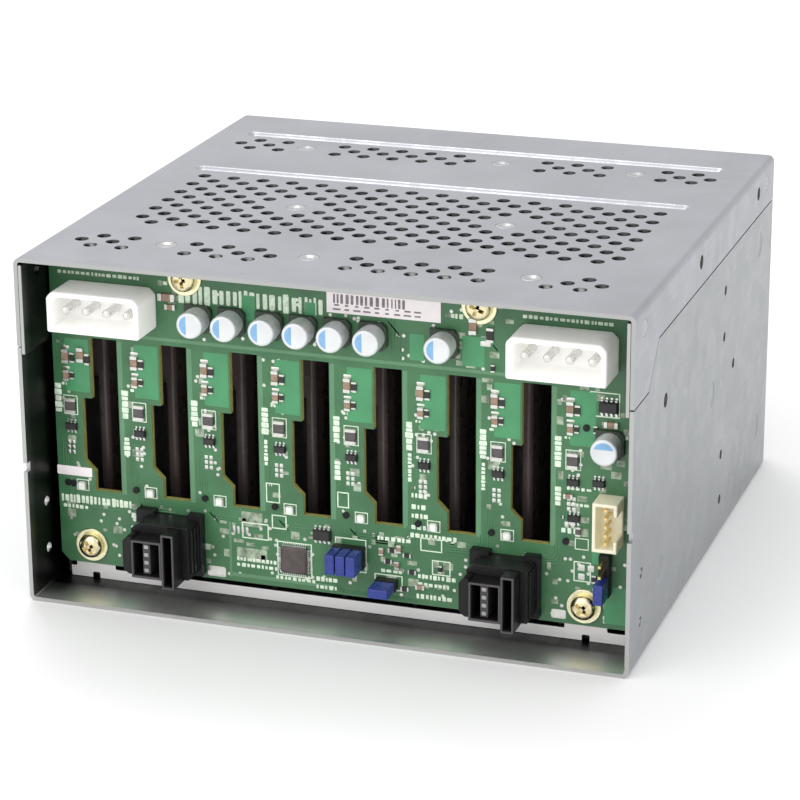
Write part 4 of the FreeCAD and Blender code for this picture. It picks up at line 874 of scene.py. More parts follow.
notch_low, notch_high = NOTCH_MIDDLE - NOTCH_HALF, NOTCH_MIDDLE + NOTCH_HALF
notch_end = rear + NOTCH_DEPTH
wall_outline = [(rear, seam_low - SEAM_GAP), (rear, notch_high), (notch_end, notch_high),
                (notch_end, notch_low), (rear, notch_low), (rear, FOLD_RADIUS),
                (front, FOLD_RADIUS)] + seam(-SEAM_GAP)[:0:-1]
case_skin = Skin()
for turn in both_sides:
    plan = turn @ flange_plan
    press_outlines = [stadium(spot, 0.0, EMBOSS_RADIUS) for spot in embosses]
    case_skin.side(case_punch, [wall_outline] + press_outlines, wall_holes, plan)
    for spot in embosses:
        case_skin.pressing(spot, 0.0, EMBOSS_RADIUS, EMBOSS_SLOPE, EMBOSS_DEPTH, plan)
case_skin.side(case_punch, [flat_outline], [(x, y, RIVET_SEAT) for x, y in rivet_spots], as_is)
case_skin.fold((fold_x, FOLD_RADIUS), FOLD_RADIUS, 0.0, -90.0, (rear, front))
case_skin.fold((-fold_x, FOLD_RADIUS), FOLD_RADIUS, 180.0, 270.0, (rear, front))
case_walls = case_skin.solid("case_walls", SHEET, DOWN)

# %% Leaves that are set in, the lip and the tabs that carry the board
LEAF_CLEARANCE = 0.1
LEAF_RIVET_HOLE = 1.25
leaf_top = ceiling - (FOLD_RADIUS - SHEET) - LEAF_CLEARANCE
leaf_plan = Matrix.Translation((-SHEET * MM, 0, 0)) @ flange_plan
leaf_outline = seam(-SEAM_GAP - LEAF_LAP) + [(front, leaf_top), (rear, leaf_top)]
leaf_holes = flange_holes + [(y, z, LEAF_RIVET_HOLE) for y, z in flange_rivets]
pieces = [case_walls]
for name, turn, outside in zip(("right", "left"), both_sides, (RIGHT, LEFT)):
    leaf = Skin()
    leaf.side(case_punch, [leaf_outline], leaf_holes, turn @ leaf_plan)
    pieces.append(leaf.solid(f"leaf_{name}", SHEET, outside))
LIP_HALF, LIP_HEIGHT = 69.0, 2.8
TAB_NOTCH_HALF, TAB_NOTCH_HEIGHT = 0.8, 1.4
lip_top = SHEET + LIP_HEIGHT
notch_top = SHEET + TAB_NOTCH_HEIGHT
lip_line = [(-LIP_HALF, lip_top), (-LIP_HALF, SHEET)]
for x, z in lower_screws:
    notch_left, notch_right = x - TAB_NOTCH_HALF, x + TAB_NOTCH_HALF
    lip_line += [(notch_left, SHEET), (notch_left, notch_top), (notch_right, notch_top), (notch_right, SHEET)]
lip_line += [(LIP_HALF, SHEET), (LIP_HALF, lip_top)]
for x, z in reversed(lower_screws):
    lip_line += tab_line(x, lip_top, z + TAB_OVERLAP)[::-1]
lip = Skin()
lip.side(lip_punch, [lip_line], [(x, z, SCREW_HOLE) for x, z in lower_screws], behind_board)
pieces.append(lip.solid("board_lip", SHEET, FORWARD))
put(join_pieces("folded_case", pieces), "zinc_plated_steel", "cage", "chassis_shell")

# %% [markdown]
# ## Solids that only need softer edges
# Mouldings such as trays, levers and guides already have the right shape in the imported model,
# but every moulded edge has a small round that catches the light. A helper takes a copy of a
# solid's mesh, welds its loose triangles, joins the flat ones and rounds the sharp edges.

# %% Softened copy of a solid
WELD_SOLID = 0.002
FLAT = math.radians(1.0)


def welded_copy(node_name):
    """Return a solid's form, welded and made of quads, which take a round better than slivers."""
    form = bmesh.new()
    form.from_mesh(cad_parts[node_name].data)
    bmesh.ops.remove_doubles(form, verts=form.verts, dist=WELD_SOLID * MM)
    bmesh.ops.dissolve_limit(form, angle_limit=FLAT, verts=form.verts, edges=form.edges)
    bmesh.ops.triangulate(form, faces=form.faces, quad_method="BEAUTY", ngon_method="BEAUTY")
    bmesh.ops.join_triangles(form, faces=form.faces, angle_face_threshold=FLAT,
                             angle_shape_threshold=math.pi)
    return form


def softened(name, node_name, material, width, segments=2):
    """Return a piece that copies a solid and has a small round along its sharp edges."""
    piece = new_object(name, made_mesh(node_name + "_soft", welded_copy(node_name), [material]))
    round_over(piece, width, segments, MOULDING_EDGE_ANGLE)
    return baked(piece)


BOARD_MOULDINGS = (
    ("upper_guides", "guide", 0.15, "guide_plastic"), ("lower_guides", "guide", 0.15, "guide_plastic"),
    ("drive_connectors", "black", 0.15, "black_plastic"), ("jumper_shunts", "blue", 0.25, "blue_plastic"),
    ("jumper_headers", "black", 0.12, "black_plastic"), ("signal_header", "cream", 0.15, "cream_nylon"),
    ("capacitor_bases", "can_base", 0.12, "black_plastic"))
for name, look, width, finish_slot in BOARD_MOULDINGS:
    put(softened("soft_" + name, name, finish[look], width), finish_slot, "cage", name)

# %% Trays, drive blanks, levers and release buttons
BAY_MOULDINGS = (("tray", "tray", "tray", 0.3, "tray_plastic", "tray"),
                 ("drive_blank", "drive_blank", "blank", 0.4, "drive_blank_plastic", "tray"),
                 ("lever", "lever", "lever", 0.35, "lever_plastic", "lever"),
                 ("button", "release_button", "button", 0.35, "button_plastic", "button"))
for bay in range(1, BAY_COUNT + 1):
    for name, node_name, look, width, finish_slot, body in BAY_MOULDINGS:
        piece = softened(f"soft_{name}_{bay}", f"{node_name}_{bay}", finish[look], width)
        put(piece, finish_slot, f"{body}_{bay}", f"{node_name}_{bay}")

# %% Solids that keep their own mesh and get a better finish
for name, look in (("backplane_board", "mask"), ("header_pins", "gold"), ("board_label", "label")):
    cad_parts[name].data.materials.clear()
    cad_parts[name].data.materials.append(finish[look])

# %% [markdown]
# ## Turned parts
# Rivets, screw heads, washers, round pins and capacitor cans are all turned shapes that repeat.
# A curve could be spun for each, but a Geometry Nodes tree does it once for all of them: it
# starts with a disc, raises its top face ring by ring, and sets the result on every point.

# %% Geometry tree for turned parts
WELD_BASE = 0.001


def raised(tree, inputs, base, steps, width):
    """Raise a base ring by ring and close it; each step is its rise and its new half width."""
    form, top = base, None
    for number, (_, wide) in enumerate(steps):
        feeds = {"Mesh": form, "Offset Scale": inputs[f"Rise_{number + 1}"]}
        if top is not None:
            feeds["Selection"] = top
        pushed = add(tree, "GeometryNodeExtrudeMesh", feeds)
        top = pushed.outputs["Top"]
        feeds = {"Geometry": pushed.outputs["Mesh"], "Selection": top, "Scale": wide / width}
        form = geo(tree, "ScaleElements", feeds)
        width = wide
    closed = joined(tree, form, geo(tree, "FlipFaces", {"Mesh": base}))
    return geo(tree, "MergeByDistance", {"Geometry": closed, "Distance": WELD_BASE * MM})


def set_on_points(tree, inputs, form, sized=False):
    """Set a form on every point: along its facing, turned about it and, where sized, stretched."""
    facing = attribute(tree, "facing", "FLOAT_VECTOR")
    upright = got(tree, "FunctionNodeAlignRotationToVector", {"Vector": facing})
    about = got(tree, "FunctionNodeAxisAngleToRotation", {"Axis": UP, "Angle": attribute(tree, "turn")})
    turned_by = got(tree, "FunctionNodeRotateRotation", {"Rotation": upright, "Rotate By": about},
                    rotation_space="LOCAL")
    feeds = {"Points": inputs["Mesh"], "Instance": form, "Rotation": turned_by}
    if sized:
        feeds["Scale"] = attribute(tree, "size", "FLOAT_VECTOR")
    return geo(tree, "InstanceOnPoints", feeds)


def turned_form(name, steps, sides, radius, **sizes):
    """Start a tree and return it with its inputs and the form that turns a profile."""
    rises = {f"Rise_{number + 1}": rise * MM for number, (rise, _) in enumerate(steps)}
    tree, inputs = start_tree(name, Sides=sides, Radius=radius * MM, **sizes, **rises)
    disc = geo(tree, "MeshCircle", {"Vertices": inputs["Sides"], "Radius": inputs["Radius"]},
               fill_type="NGON")
    return tree, inputs, raised(tree, inputs, disc, steps, radius)


def turned_tree(name, material, steps, sides, radius):
    """Return a tree that turns a profile and sets it on each point along its own direction."""
    tree, inputs, form = turned_form(name, steps, sides, radius)
    return finish_tree(tree, set_on_points(tree, inputs, form), material)


def sown(name, tree, spots, facing=BACK, **attributes):
    """Grow a tree's form on every spot, in millimetres, and return it as one piece."""
    facings = facing if isinstance(facing, list) else [facing] * len(spots)
    seeds = points(name + "_spots", spots, facing=facings, **attributes)
    return smoothed(new_object(name, grow(name, seeds, tree)))


# %% [markdown]
# The rivets of the guides are flush: each head sits in a round seat in the cover and has a shallow dish
# with a bright ring. The tails show under the guide bars inside the case.

# %% Flush rivets
HEAD_STEPS = ((0.0, 2.35), (0.55, 2.35), (0.05, 2.25), (0.0, 2.0), (-0.45, 1.25), (0.0, 0.6), (0.06, 0.3))
TAIL_STEPS = ((0.45, 1.9), (0.2, 1.7), (0.05, 1.2), (-0.15, 0.6))
HEAD_DEPTH = 0.6
GUIDE_BAR = 1.0
head_tree = turned_tree("rivet_head", finish["rivet"], HEAD_STEPS, 24, 2.3)
tail_tree = turned_tree("rivet_tail", finish["rivet"], TAIL_STEPS, 18, 1.9)


def above_and_below(depth):
    """Return the spots of the rivets at a depth under the cover and over the case's underside."""
    return [(x, y, z) for z in (case_top - depth, depth) for x, y in rivet_spots]


up, down = [UP] * len(rivet_spots), [DOWN] * len(rivet_spots)
heads = sown("guide_rivet_heads", head_tree, above_and_below(HEAD_DEPTH), up + down)
tails = sown("guide_rivet_tails", tail_tree, above_and_below(SHEET + GUIDE_BAR), down + up)
put(join_pieces("flush_guide_rivets", [heads, tails]), "rivet_steel", "cage", "guide_rivets")

FLANGE_STEPS = ((0.0, 1.85), (0.56, 1.85), (0.04, 1.75), (0.0, 1.3), (-0.25, 1.0), (0.0, 0.4), (0.05, 0.2))
flange_tree = turned_tree("flange_rivet", finish["rivet"], FLANGE_STEPS, 20, 1.8)
spots = [(side * (half_width - HEAD_DEPTH), y, z) for side in (1, -1) for y, z in flange_rivets]
flange_heads = sown("flush_flange_rivets", flange_tree, spots, [RIGHT] * 2 + [LEFT] * 2)
put(flange_heads, "rivet_steel", "cage", "cover_rivets")

# %% [markdown]
# The aluminium cans are drawn cups with a rolled rim and a groove above the foot. Their tops are
# nearly flat, and a blue segment printed on each marks the minus side.

# %% Capacitor cans
board_face = board_low.y
CAPACITOR_ROW = (-33.2, -25.0, -15.8, -7.6, 0.6, 9.2, 26.0)
CAN_STEPS = ((0.0, 3.0), (0.5, 3.0), (0.35, 2.86), (0.35, 3.0), (0.12, 3.15), (3.45, 3.15), (0.22, 3.08),
             (0.14, 2.93), (0.07, 2.72), (0.0, 2.45), (-0.05, 2.3))
can_foot = box_mm("capacitor_cans")[1].y
can_tree = turned_tree("capacitor_can", finish["can"], CAN_STEPS, 32, 2.8)
can_row = board_high.z - 12.2
can_spots = [(x, can_foot, can_row) for x in CAPACITOR_ROW]
can_spots.append((board_half - 6.1, can_foot, board_low.z + 44.5))
put(sown("drawn_capacitor_cans", can_tree, can_spots), "capacitor_can", "cage", "capacitor_cans")
can_top = can_foot - sum(rise for rise, _ in CAN_STEPS)

# %% Blue segments on the cans
MARK_RADIUS, MARK_CHORD, MARK_LIFT, MARK_STEPS = 2.6, 0.75, 0.03, 14


def segments_of_print(name, spots, turns):
    """Return a thin segment of a disc on each spot, cut off by a chord, as the print on a can."""
    spread = math.acos(MARK_CHORD / MARK_RADIUS)
    form = bmesh.new()
    for (x, y, z), degrees in zip(spots, turns):
        arc = [math.radians(degrees) - spread + 2 * spread * step / MARK_STEPS
               for step in range(MARK_STEPS + 1)]
        ring = [(x + MARK_RADIUS * math.cos(a), z + MARK_RADIUS * math.sin(a)) for a in arc]
        front_row = [form.verts.new(Vector((u, y - MARK_LIFT, w)) * MM) for u, w in ring]
        back_row = [form.verts.new(Vector((u, y, w)) * MM) for u, w in ring]
        form.faces.new(front_row)
        form.faces.new(back_row[::-1])
        for number in range(len(ring)):
            after = (number + 1) % len(ring)
            form.faces.new((front_row[after], front_row[number], back_row[number], back_row[after]))
    bmesh.ops.recalc_face_normals(form, faces=form.faces)
    return new_object(name, made_mesh(name, form, [finish["can_blue"]]))


mark_turns = [180.0] * len(CAPACITOR_ROW) + [90.0]
mark_spots = [(x, can_top, z) for x, _, z in can_spots]
put(segments_of_print("minus_marks", mark_spots, mark_turns), "blue_plastic", "cage")

# %% [markdown]
# ## Screws, power connectors and serial connectors
# The brass screws that hold the board have a pan head with a cross recess. A Mesh Boolean node
# cuts the cross, because only four heads need it and two crossed bars are the recess's own
# shape. Each screw stands at its own angle, as a screw does once it is tight.

# %% Board screws and their washers
WASHER_THICKNESS = 0.5
PAN_STEPS = ((0.1, 3.0), (0.55, 3.0), (0.45, 2.85), (0.40, 2.45), (0.27, 1.86), (0.12, 1.1))
RECESS_LENGTH = 3.5
RECESS_WIDTH = 0.85
RECESS_DEPTH = 1.3
WASHER_STEPS = ((0.08, 4.1), (0.34, 4.1), (0.08, 4.0), (0.0, 3.2), (-0.06, 3.0))
SHANK_STEPS = ((0.0, 1.4), (3.4, 1.4), (0.35, 1.05))
SCREW_TURNS = (24.0, 51.0, 8.0, 67.0)


def screw_tree(name, material, steps, sides, radius):
    """Return the turned tree with a cross cut into the top of its form."""
    tree, inputs, form = turned_form(name, steps, sides, radius, Recess_Length=RECESS_LENGTH * MM,
                                     Recess_Width=RECESS_WIDTH * MM)
    height = sum(rise for rise, _ in steps) * MM
    for first, second in (("Recess_Length", "Recess_Width"), ("Recess_Width", "Recess_Length")):
        feeds = {0: inputs[first], 1: inputs[second], 2: 2 * RECESS_DEPTH * MM}
        arm = geo(tree, "MeshCube", {"Size": got(tree, "ShaderNodeCombineXYZ", feeds)})
        arm = geo(tree, "Transform", {"Geometry": arm, "Translation": (0, 0, height)})
        cut = add(tree, "GeometryNodeMeshBoolean", operation="DIFFERENCE")
        tree.links.new(form, cut.inputs["Mesh 1"])
        tree.links.new(arm, cut.inputs["Mesh 2"])
        form = cut.outputs[0]
    return finish_tree(tree, set_on_points(tree, inputs, form), material)


screw_places = lower_screws + upper_screws
washer_tree = turned_tree("board_washer", finish["washer"], WASHER_STEPS, 32, 4.0)
head_tree = screw_tree("board_screw", finish["brass"], PAN_STEPS, 32, 2.9)
shank_tree = turned_tree("screw_shank", finish["brass"], SHANK_STEPS, 16, 1.3)
washers = sown("plain_washers", washer_tree, [(x, board_face, z) for x, z in screw_places])
put(washers, "washer_brass", "cage", "board_washers")
seat = board_face - WASHER_THICKNESS
heads = sown("screw_heads", head_tree, [(x, seat, z) for x, z in screw_places],
             turn=[math.radians(angle) for angle in SCREW_TURNS])
shanks = sown("screw_shanks", shank_tree, [(x, seat + 0.05, z) for x, z in screw_places], FORWARD)
put(join_pieces("cross_screws", [heads, shanks]), "brass", "cage", "board_screws")

# %% [markdown]
# The power connectors are moulded nylon shrouds round four split pins. The shroud keeps its
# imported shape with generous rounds, because nylon parts have no sharp corner anywhere, and the
# pins are turned with a domed end.

# %% Power connectors and their pins
PIN_PITCH = 5.08
PIN_STEPS = ((0.0, 1.05), (5.9, 1.05), (0.35, 0.95), (0.3, 0.7), (0.12, 0.35))
for side in ("left", "right"):
    shroud = softened(f"soft_power_{side}", f"power_connector_{side}", finish["nylon"], 0.55, segments=3)
    put(shroud, "white_nylon", "cage", f"power_connector_{side}")
pin_foot, pin_row = box_mm("power_pins")[1].y, middle_mm("power_pins").z
pin_spots = [(middle_mm(f"power_connector_{side}").x + (number - 1.5) * PIN_PITCH, pin_foot, pin_row)
             for side in ("left", "right") for number in range(4)]
pin_tree = turned_tree("power_pin", finish["pin"], PIN_STEPS, 16, 1.0)
put(sown("round_power_pins", pin_tree, pin_spots), "tinned_pin", "cage", "power_pins")

# %% [markdown]
# Each serial connector is a black moulding with two parts side by side: the plug opening with its
# contact tongue, and a taller slot that the cable's latch hooks into. Wings stiffen it and a
# base with two ears stands on the board. Its walls follow plans that are filled and given a
# depth, which the punching tree does already. A thin pale edge frames both openings.

# %% Serial connectors
PLUG_PLAN = (-5.2, 2.3, -5.2, 4.1)
LATCH_PLAN = (2.3, 5.4, -7.3, 6.2)
FRAME_EDGE = 0.5
FRAME_DEPTH = 0.3
TONGUE_PLAN = (-2.7, -0.85, -4.5, 3.4)
TONGUE_SETBACK = 0.9
CAVITY_DEPTH = 9.0
WING_HALF = 7.2
WING_SETBACK = 4.5
BASE_HALF = 8.2
BASE_THICKNESS = 2.6
EAR_NOTCH = (-3.6, 4.6, 1.5)
BASE_TALL = 7.6
RIB_DEPTH = 0.45
RIB_PITCH = 1.9
CHEEK, CHEEK_BEND = 2.6, 1.4
CHEEK_SETBACK = 0.6
CHEEK_ROUND = 0.3
FRAME_ROUND = 0.08
PART_OVERLAP = 0.2
WING_TALL = 6.5
RIB_START, RIB_THICKNESS, RIB_TALL = 1.2, 0.8, 5.6


def rectangle(left, right, low, high):
    """Return the outline of a rectangle."""
    return [(left, low), (right, low), (right, high), (left, high)]


def inset(plan, width):
    """Return a plan whose four sides are moved in by a width."""
    left, right, low, high = plan
    return left + width, right - width, low + width, high - width


def block_from(name, tree, outlines, y_front, depth, middle, soft=SHEET_EDGE):
    """Return a piece that runs back from y_front, with outlines in the plane of the board."""
    skin = Skin()
    skin.side(tree, outlines, [], board_plan(middle.x, y_front, middle.z))
    return skin.solid(name, depth, BACK, soft)

# %% Serial connectors at their places
black_fill = punch_tree("black_fill", finish["black"])
frame_fill = punch_tree("frame_fill", finish["frame"])
tongue_fill = punch_tree("tongue_fill", finish["tongue"])
for side in ("left", "right"):
    middle, opening = middle_mm(f"sas_connector_{side}"), box_mm(f"sas_connector_{side}")[0].y
    face = opening + FRAME_DEPTH
    length = board_face - face
    left, right, low, high = PLUG_PLAN
    core = [(left, low), (right, low), (right, LATCH_PLAN[2]), (LATCH_PLAN[1], LATCH_PLAN[2]),
            (LATCH_PLAN[1], LATCH_PLAN[3]), (right, LATCH_PLAN[3]), (right, high), (left, high)]
    openings = [rectangle(*inset(plan, FRAME_EDGE + 0.1)) for plan in (PLUG_PLAN, LATCH_PLAN)]
    walls = block_from("walls", black_fill, [core] + openings, face, CAVITY_DEPTH, middle)
    behind = block_from("behind", black_fill, [core], face + CAVITY_DEPTH - PART_OVERLAP,
                        length - CAVITY_DEPTH + PART_OVERLAP, middle)
    cheek_end, cheek_bend = left - CHEEK, left - CHEEK + CHEEK_BEND
    cheek = [(cheek_end, low + 1.6), (cheek_bend, low + 0.3), (left, low + 0.3), (left, high + 0.6),
             (cheek_bend, high + 0.6), (cheek_end, high - 0.9)]
    parts = [walls, behind, block_from("cheek", black_fill, [cheek], face + CHEEK_SETBACK,
                                       length - CHEEK_SETBACK, middle, CHEEK_ROUND)]
    for plan in (PLUG_PLAN, LATCH_PLAN):
        ring = [rectangle(*plan), rectangle(*inset(plan, FRAME_EDGE))]
        parts.append(block_from("ring", frame_fill, ring, opening, FRAME_DEPTH + 0.05, middle, FRAME_ROUND))
    tongue = rectangle(*TONGUE_PLAN)
    parts.append(block_from("tongue", tongue_fill, [tongue], face + TONGUE_SETBACK, CAVITY_DEPTH, middle))
    wing = [(-WING_HALF, -WING_TALL), (WING_HALF, -WING_TALL), (WING_HALF, WING_TALL),
            (left, WING_TALL), (-WING_HALF, 5.0)]
    parts.append(block_from("wing", black_fill, [wing, core[::-1]], face + WING_SETBACK,
                            length - WING_SETBACK, middle))
    for number in range(3):
        y_rib = face + WING_SETBACK + RIB_START + number * RIB_PITCH
        rib = rectangle(WING_HALF - 0.1, WING_HALF + RIB_DEPTH, -RIB_TALL, RIB_TALL)
        parts.append(block_from("rib", black_fill, [rib], y_rib, RIB_THICKNESS, middle))
    ear_left, ear_right, ear_drop = EAR_NOTCH
    foot = [(-BASE_HALF, -BASE_TALL), (BASE_HALF, -BASE_TALL), (BASE_HALF, BASE_TALL),
            (ear_right, BASE_TALL), (ear_right, BASE_TALL - ear_drop),
            (ear_left, BASE_TALL - ear_drop), (ear_left, BASE_TALL), (-BASE_HALF, BASE_TALL)]
    parts.append(block_from("foot", black_fill, [foot], board_face - BASE_THICKNESS, BASE_THICKNESS, middle))
    put(join_pieces(f"latched_serial_{side}", parts), "black_plastic", "cage", f"sas_connector_{side}")

# %% [markdown]
# ## Dressing the board
# What makes a board look real is what lies on it: copper areas that shine through the mask,
# thin tracks, pads, dots where a track changes side, small parts and white print. Thousands
# of them would be slow to place as objects, so four small trees each grow one form on a list
# of points. The points carry their size and turn as attributes, and the lists follow the
# board's own order: one strip of the same parts beside every slot.

# %% Geometry trees for plates and small parts
def soft_plate(tree, corner, steps, inputs):
    """Return a square of unit width with cut corners, raised by steps with slanted shoulders."""
    outline = geo(tree, "CurvePrimitiveQuadrilateral", {"Width": 1.0, "Height": 1.0})
    outline = geo(tree, "FilletCurve", {"Curve": outline, "Count": 1, "Radius": corner},
                  mode="POLY")
    face = geo(tree, "FillCurve", {"Curve": outline}, mode="NGONS")
    return raised(tree, inputs, face, steps, 1.0)


def plate_tree(name, material, corner=0.1):
    """Return a tree that lays a thin plate with cut corners on every point."""
    tree, inputs = start_tree(name, Corner=corner, Rise_1=0.7, Rise_2=0.3)
    form = soft_plate(tree, inputs["Corner"], ((0.7, 1.0), (0.3, 0.94)), inputs)
    return finish_tree(tree, set_on_points(tree, inputs, form, sized=True), material)


def chip_tree(name, material, cap_material, cap_share=0.2):
    """Return a tree for a part with a metal cap at each end, of unit size."""
    tree, inputs = start_tree(name, Corner=0.08, Rise_1=0.85, Rise_2=0.15, Cap_Share=cap_share)
    form = soft_plate(tree, inputs["Corner"], ((0.85, 1.0), (0.15, 0.90)), inputs)
    body = geo(tree, "Transform", {"Geometry": form, "Scale": (1.0 - 2 * cap_share, 0.94, 0.92)})
    bare_share = calc(tree, "SUBTRACT", 1.0, inputs["Cap_Share"])
    size = got(tree, "ShaderNodeCombineXYZ", {0: inputs["Cap_Share"], 1: 1.0, 2: 1.0})
    parts = []
    for side in (0.5, -0.5):
        move = got(tree, "ShaderNodeCombineXYZ", {0: calc(tree, "MULTIPLY", bare_share, side)})
        cap = geo(tree, "Transform", {"Geometry": form, "Translation": move, "Scale": size})
        parts.append(painted(tree, cap, cap_material))
    form = joined(tree, *parts, painted(tree, body, material))
    return finish_tree(tree, set_on_points(tree, inputs, form, sized=True))

# %% Geometry tree for packages with leads
LEAD_REACH = 0.9
LEAD_RISE = 0.05
LEAD_THICKNESS = 0.1


def lead_form(tree, pitch, height):
    """Return one bent lead: out of the package, down to the board and along it."""
    bends = [(0, LEAD_REACH * share * MM, rise * MM) for share, rise in
             ((-0.3, 0.35 * height), (0.35, 0.35 * height), (0.55, LEAD_RISE), (1.0, LEAD_RISE))]
    lines = [geo(tree, "CurvePrimitiveLine", {"Start": start, "End": end})
             for start, end in zip(bends, bends[1:])]
    section = geo(tree, "CurvePrimitiveQuadrilateral",
                  {"Width": 0.45 * pitch * MM, "Height": LEAD_THICKNESS * MM})
    return geo(tree, "CurveToMesh", {"Curve": joined(tree, *reversed(lines)), "Profile Curve": section,
                                     "Fill Caps": True})


def package_tree(name, material, lead_material, length, width, height, leads, pitch, sides=2):
    """Return a tree for a moulded package with rows of bent leads on two or four sides."""
    tree, inputs = start_tree(name, Corner=0.06, Rise_1=0.55, Rise_2=0.45, Length=length * MM,
                              Width=width * MM, Height=height * MM, Leads=leads, Pitch=pitch * MM)
    form = soft_plate(tree, inputs["Corner"], ((0.55, 1.0), (0.45, 0.86)), inputs)
    size = got(tree, "ShaderNodeCombineXYZ", {0: inputs["Length"], 1: inputs["Width"], 2: inputs["Height"]})
    body = geo(tree, "Transform", {"Geometry": form, "Scale": size})
    lead = painted(tree, lead_form(tree, pitch, height), lead_material)
    first = calc(tree, "MULTIPLY", calc(tree, "SUBTRACT", inputs["Leads"], 1.0),
                 calc(tree, "MULTIPLY", inputs["Pitch"], -0.5))
    step = got(tree, "ShaderNodeCombineXYZ", {0: inputs["Pitch"]})
    parts = []
    for number in range(sides):
        across = inputs["Width"] if number % 2 == 0 or sides == 2 else inputs["Length"]
        start = got(tree, "ShaderNodeCombineXYZ", {0: first, 1: calc(tree, "MULTIPLY", across, 0.5)})
        row = geo(tree, "MeshLine", {"Count": inputs["Leads"], "Start Location": start, "Offset": step})
        legs = geo(tree, "RealizeInstances",
                   {0: geo(tree, "InstanceOnPoints", {"Points": row, "Instance": lead})})
        turn = (0, 0, math.radians(360.0 / sides * number))
        parts.append(geo(tree, "Transform", {"Geometry": legs, "Rotation": turn}))
    form = joined(tree, *parts, painted(tree, body, material))
    return finish_tree(tree, set_on_points(tree, inputs, form))

# %% Geometry tree for tracks
def track_tree(name, material, width, height):
    """Return a tree that lays a flat track along every chain of edges."""
    tree, inputs = start_tree(name, Width=width * MM, Height=height * MM)
    path = geo(tree, "MeshToCurve", {"Mesh": inputs["Mesh"]})
    path = geo(tree, "SetCurveNormal", {"Curve": path, "Normal": FORWARD}, mode="FREE")
    section = geo(tree, "CurvePrimitiveQuadrilateral",
                  {"Width": inputs["Height"], "Height": inputs["Width"]})
    track = geo(tree, "CurveToMesh", {"Curve": path, "Profile Curve": section, "Fill Caps": True})
    return finish_tree(tree, track, material)

# %% One tree for each kind of small part
pour_tree = plate_tree("copper_pour", finish["pour"], corner=0.02)
strip_tree = plate_tree("bare_strip", finish["strip"], corner=0.02)
print_tree = plate_tree("white_print", finish["print"])
pad_tree = plate_tree("solder_pad", finish["solder"])
ink_tree = plate_tree("label_ink", finish["ink"])
contact_tree = plate_tree("tongue_contact", finish["contact"])
resistor_tree = chip_tree("resistor", finish["resistor"], finish["solder"])
ceramic_tree = chip_tree("ceramic", finish["ceramic"], finish["solder"], 0.26)
grey_tree = chip_tree("grey_ceramic", finish["grey"], finish["solder"], 0.22)
led_tree = chip_tree("led", finish["lens"], finish["solder"], 0.14)
logic_tree = package_tree("logic_chip", finish["chip"], finish["pin"], 2.9, 1.6, 1.05, 3, 0.95)
driver_tree = package_tree("driver_chip", finish["chip"], finish["pin"], 4.4, 2.6, 1.2, 4, 1.1)
controller_tree = package_tree("controller", finish["controller"], finish["pin"], 6.6, 6.6, 1.0, 12, 0.5,
                               sides=4)
via_tree = turned_tree("via", finish["solder"], [(0.03, 0.42), (0.0, 0.22), (-0.02, 0.2)], 10, 0.42)
dark_dot_tree = turned_tree("dark_dot", finish["black"], [(0.45, 0.8), (0.1, 0.7)], 12, 0.8)
thin_tracks = track_tree("thin_tracks", finish["trace"], 0.32, 0.06)
print("geometry trees:", len(bpy.data.node_groups))

# %% Contacts on the tongues
CONTACT_ROWS = 4
CONTACT_PITCH = 1.95
CONTACT_SIZE = (1.15, 0.95, 0.2)
tongue_x = (TONGUE_PLAN[0] + TONGUE_PLAN[1]) / 2
tongue_z = (TONGUE_PLAN[2] + TONGUE_PLAN[3]) / 2
contact_spots = []
for side in ("left", "right"):
    middle, opening = middle_mm(f"sas_connector_{side}"), box_mm(f"sas_connector_{side}")[0].y
    contact_spots += [(middle.x + tongue_x, opening + FRAME_DEPTH + TONGUE_SETBACK,
                       middle.z + tongue_z + (number - (CONTACT_ROWS - 1) / 2) * CONTACT_PITCH)
                      for number in range(CONTACT_ROWS)]


def sizes_mm(size, count):
    """Return one size, in metres, for each of so many points."""
    return [tuple(length * MM for length in size)] * count


contacts = sown("tongue_contacts", contact_tree, contact_spots,
                size=sizes_mm(CONTACT_SIZE, len(contact_spots)))
put(contacts, "gold_contact", "cage", "sas_contacts")

# %% Spots on the board
BARS = range(BAY_COUNT)
AFTER_SLOTS = range(1, BAY_COUNT)
POUR_STEP = 0.055
STRIP_STEP = 0.035
SLOT_SIDE = 1.75
SLOT_WIDTH = 6.8
SLOT_LOW, SLOT_HIGH = 24.3, 62.3
BULGE_LOW, BULGE_HIGH = 29.0, 47.3
BULGE_DEPTH = 2.5
luck = random.Random(8)


def beside(x, z, bays=BARS):
    """Return a spot in each bay's strip: x from the bay's left side, z above the underside."""
    return [(bays_left + bay * BAY_WIDTH + x, board_face, z) for bay in bays]


def laid(name, tree, rows, finish_slot, *replaced):
    """Lay a form on rows of spots; each row is its spots, its size and its turn in degrees."""
    spots = [spot for row in rows for spot in row[0]]
    size = [one for row in rows for one in sizes_mm(row[1], len(row[0]))]
    turn = [math.radians(row[2]) for row in rows for _ in row[0]]
    put(sown(name, tree, spots, size=size, turn=turn), finish_slot, "cage", *replaced)


def on_board(x, z, room=0.7):
    """Tell whether a place is clear of the air slots in the board."""
    for bay in AFTER_SLOTS:
        right = bays_left + bay * BAY_WIDTH - SLOT_SIDE
        wide = SLOT_WIDTH + (BULGE_DEPTH if BULGE_LOW < z < BULGE_HIGH else 0.0)
        if right - wide - room < x < right + room and SLOT_LOW - room < z < SLOT_HIGH + room:
            return False
    return True


def at(*places):
    """Return spots on the board's face from (x, z) places."""
    return [(x, board_face, z) for x, z in places]

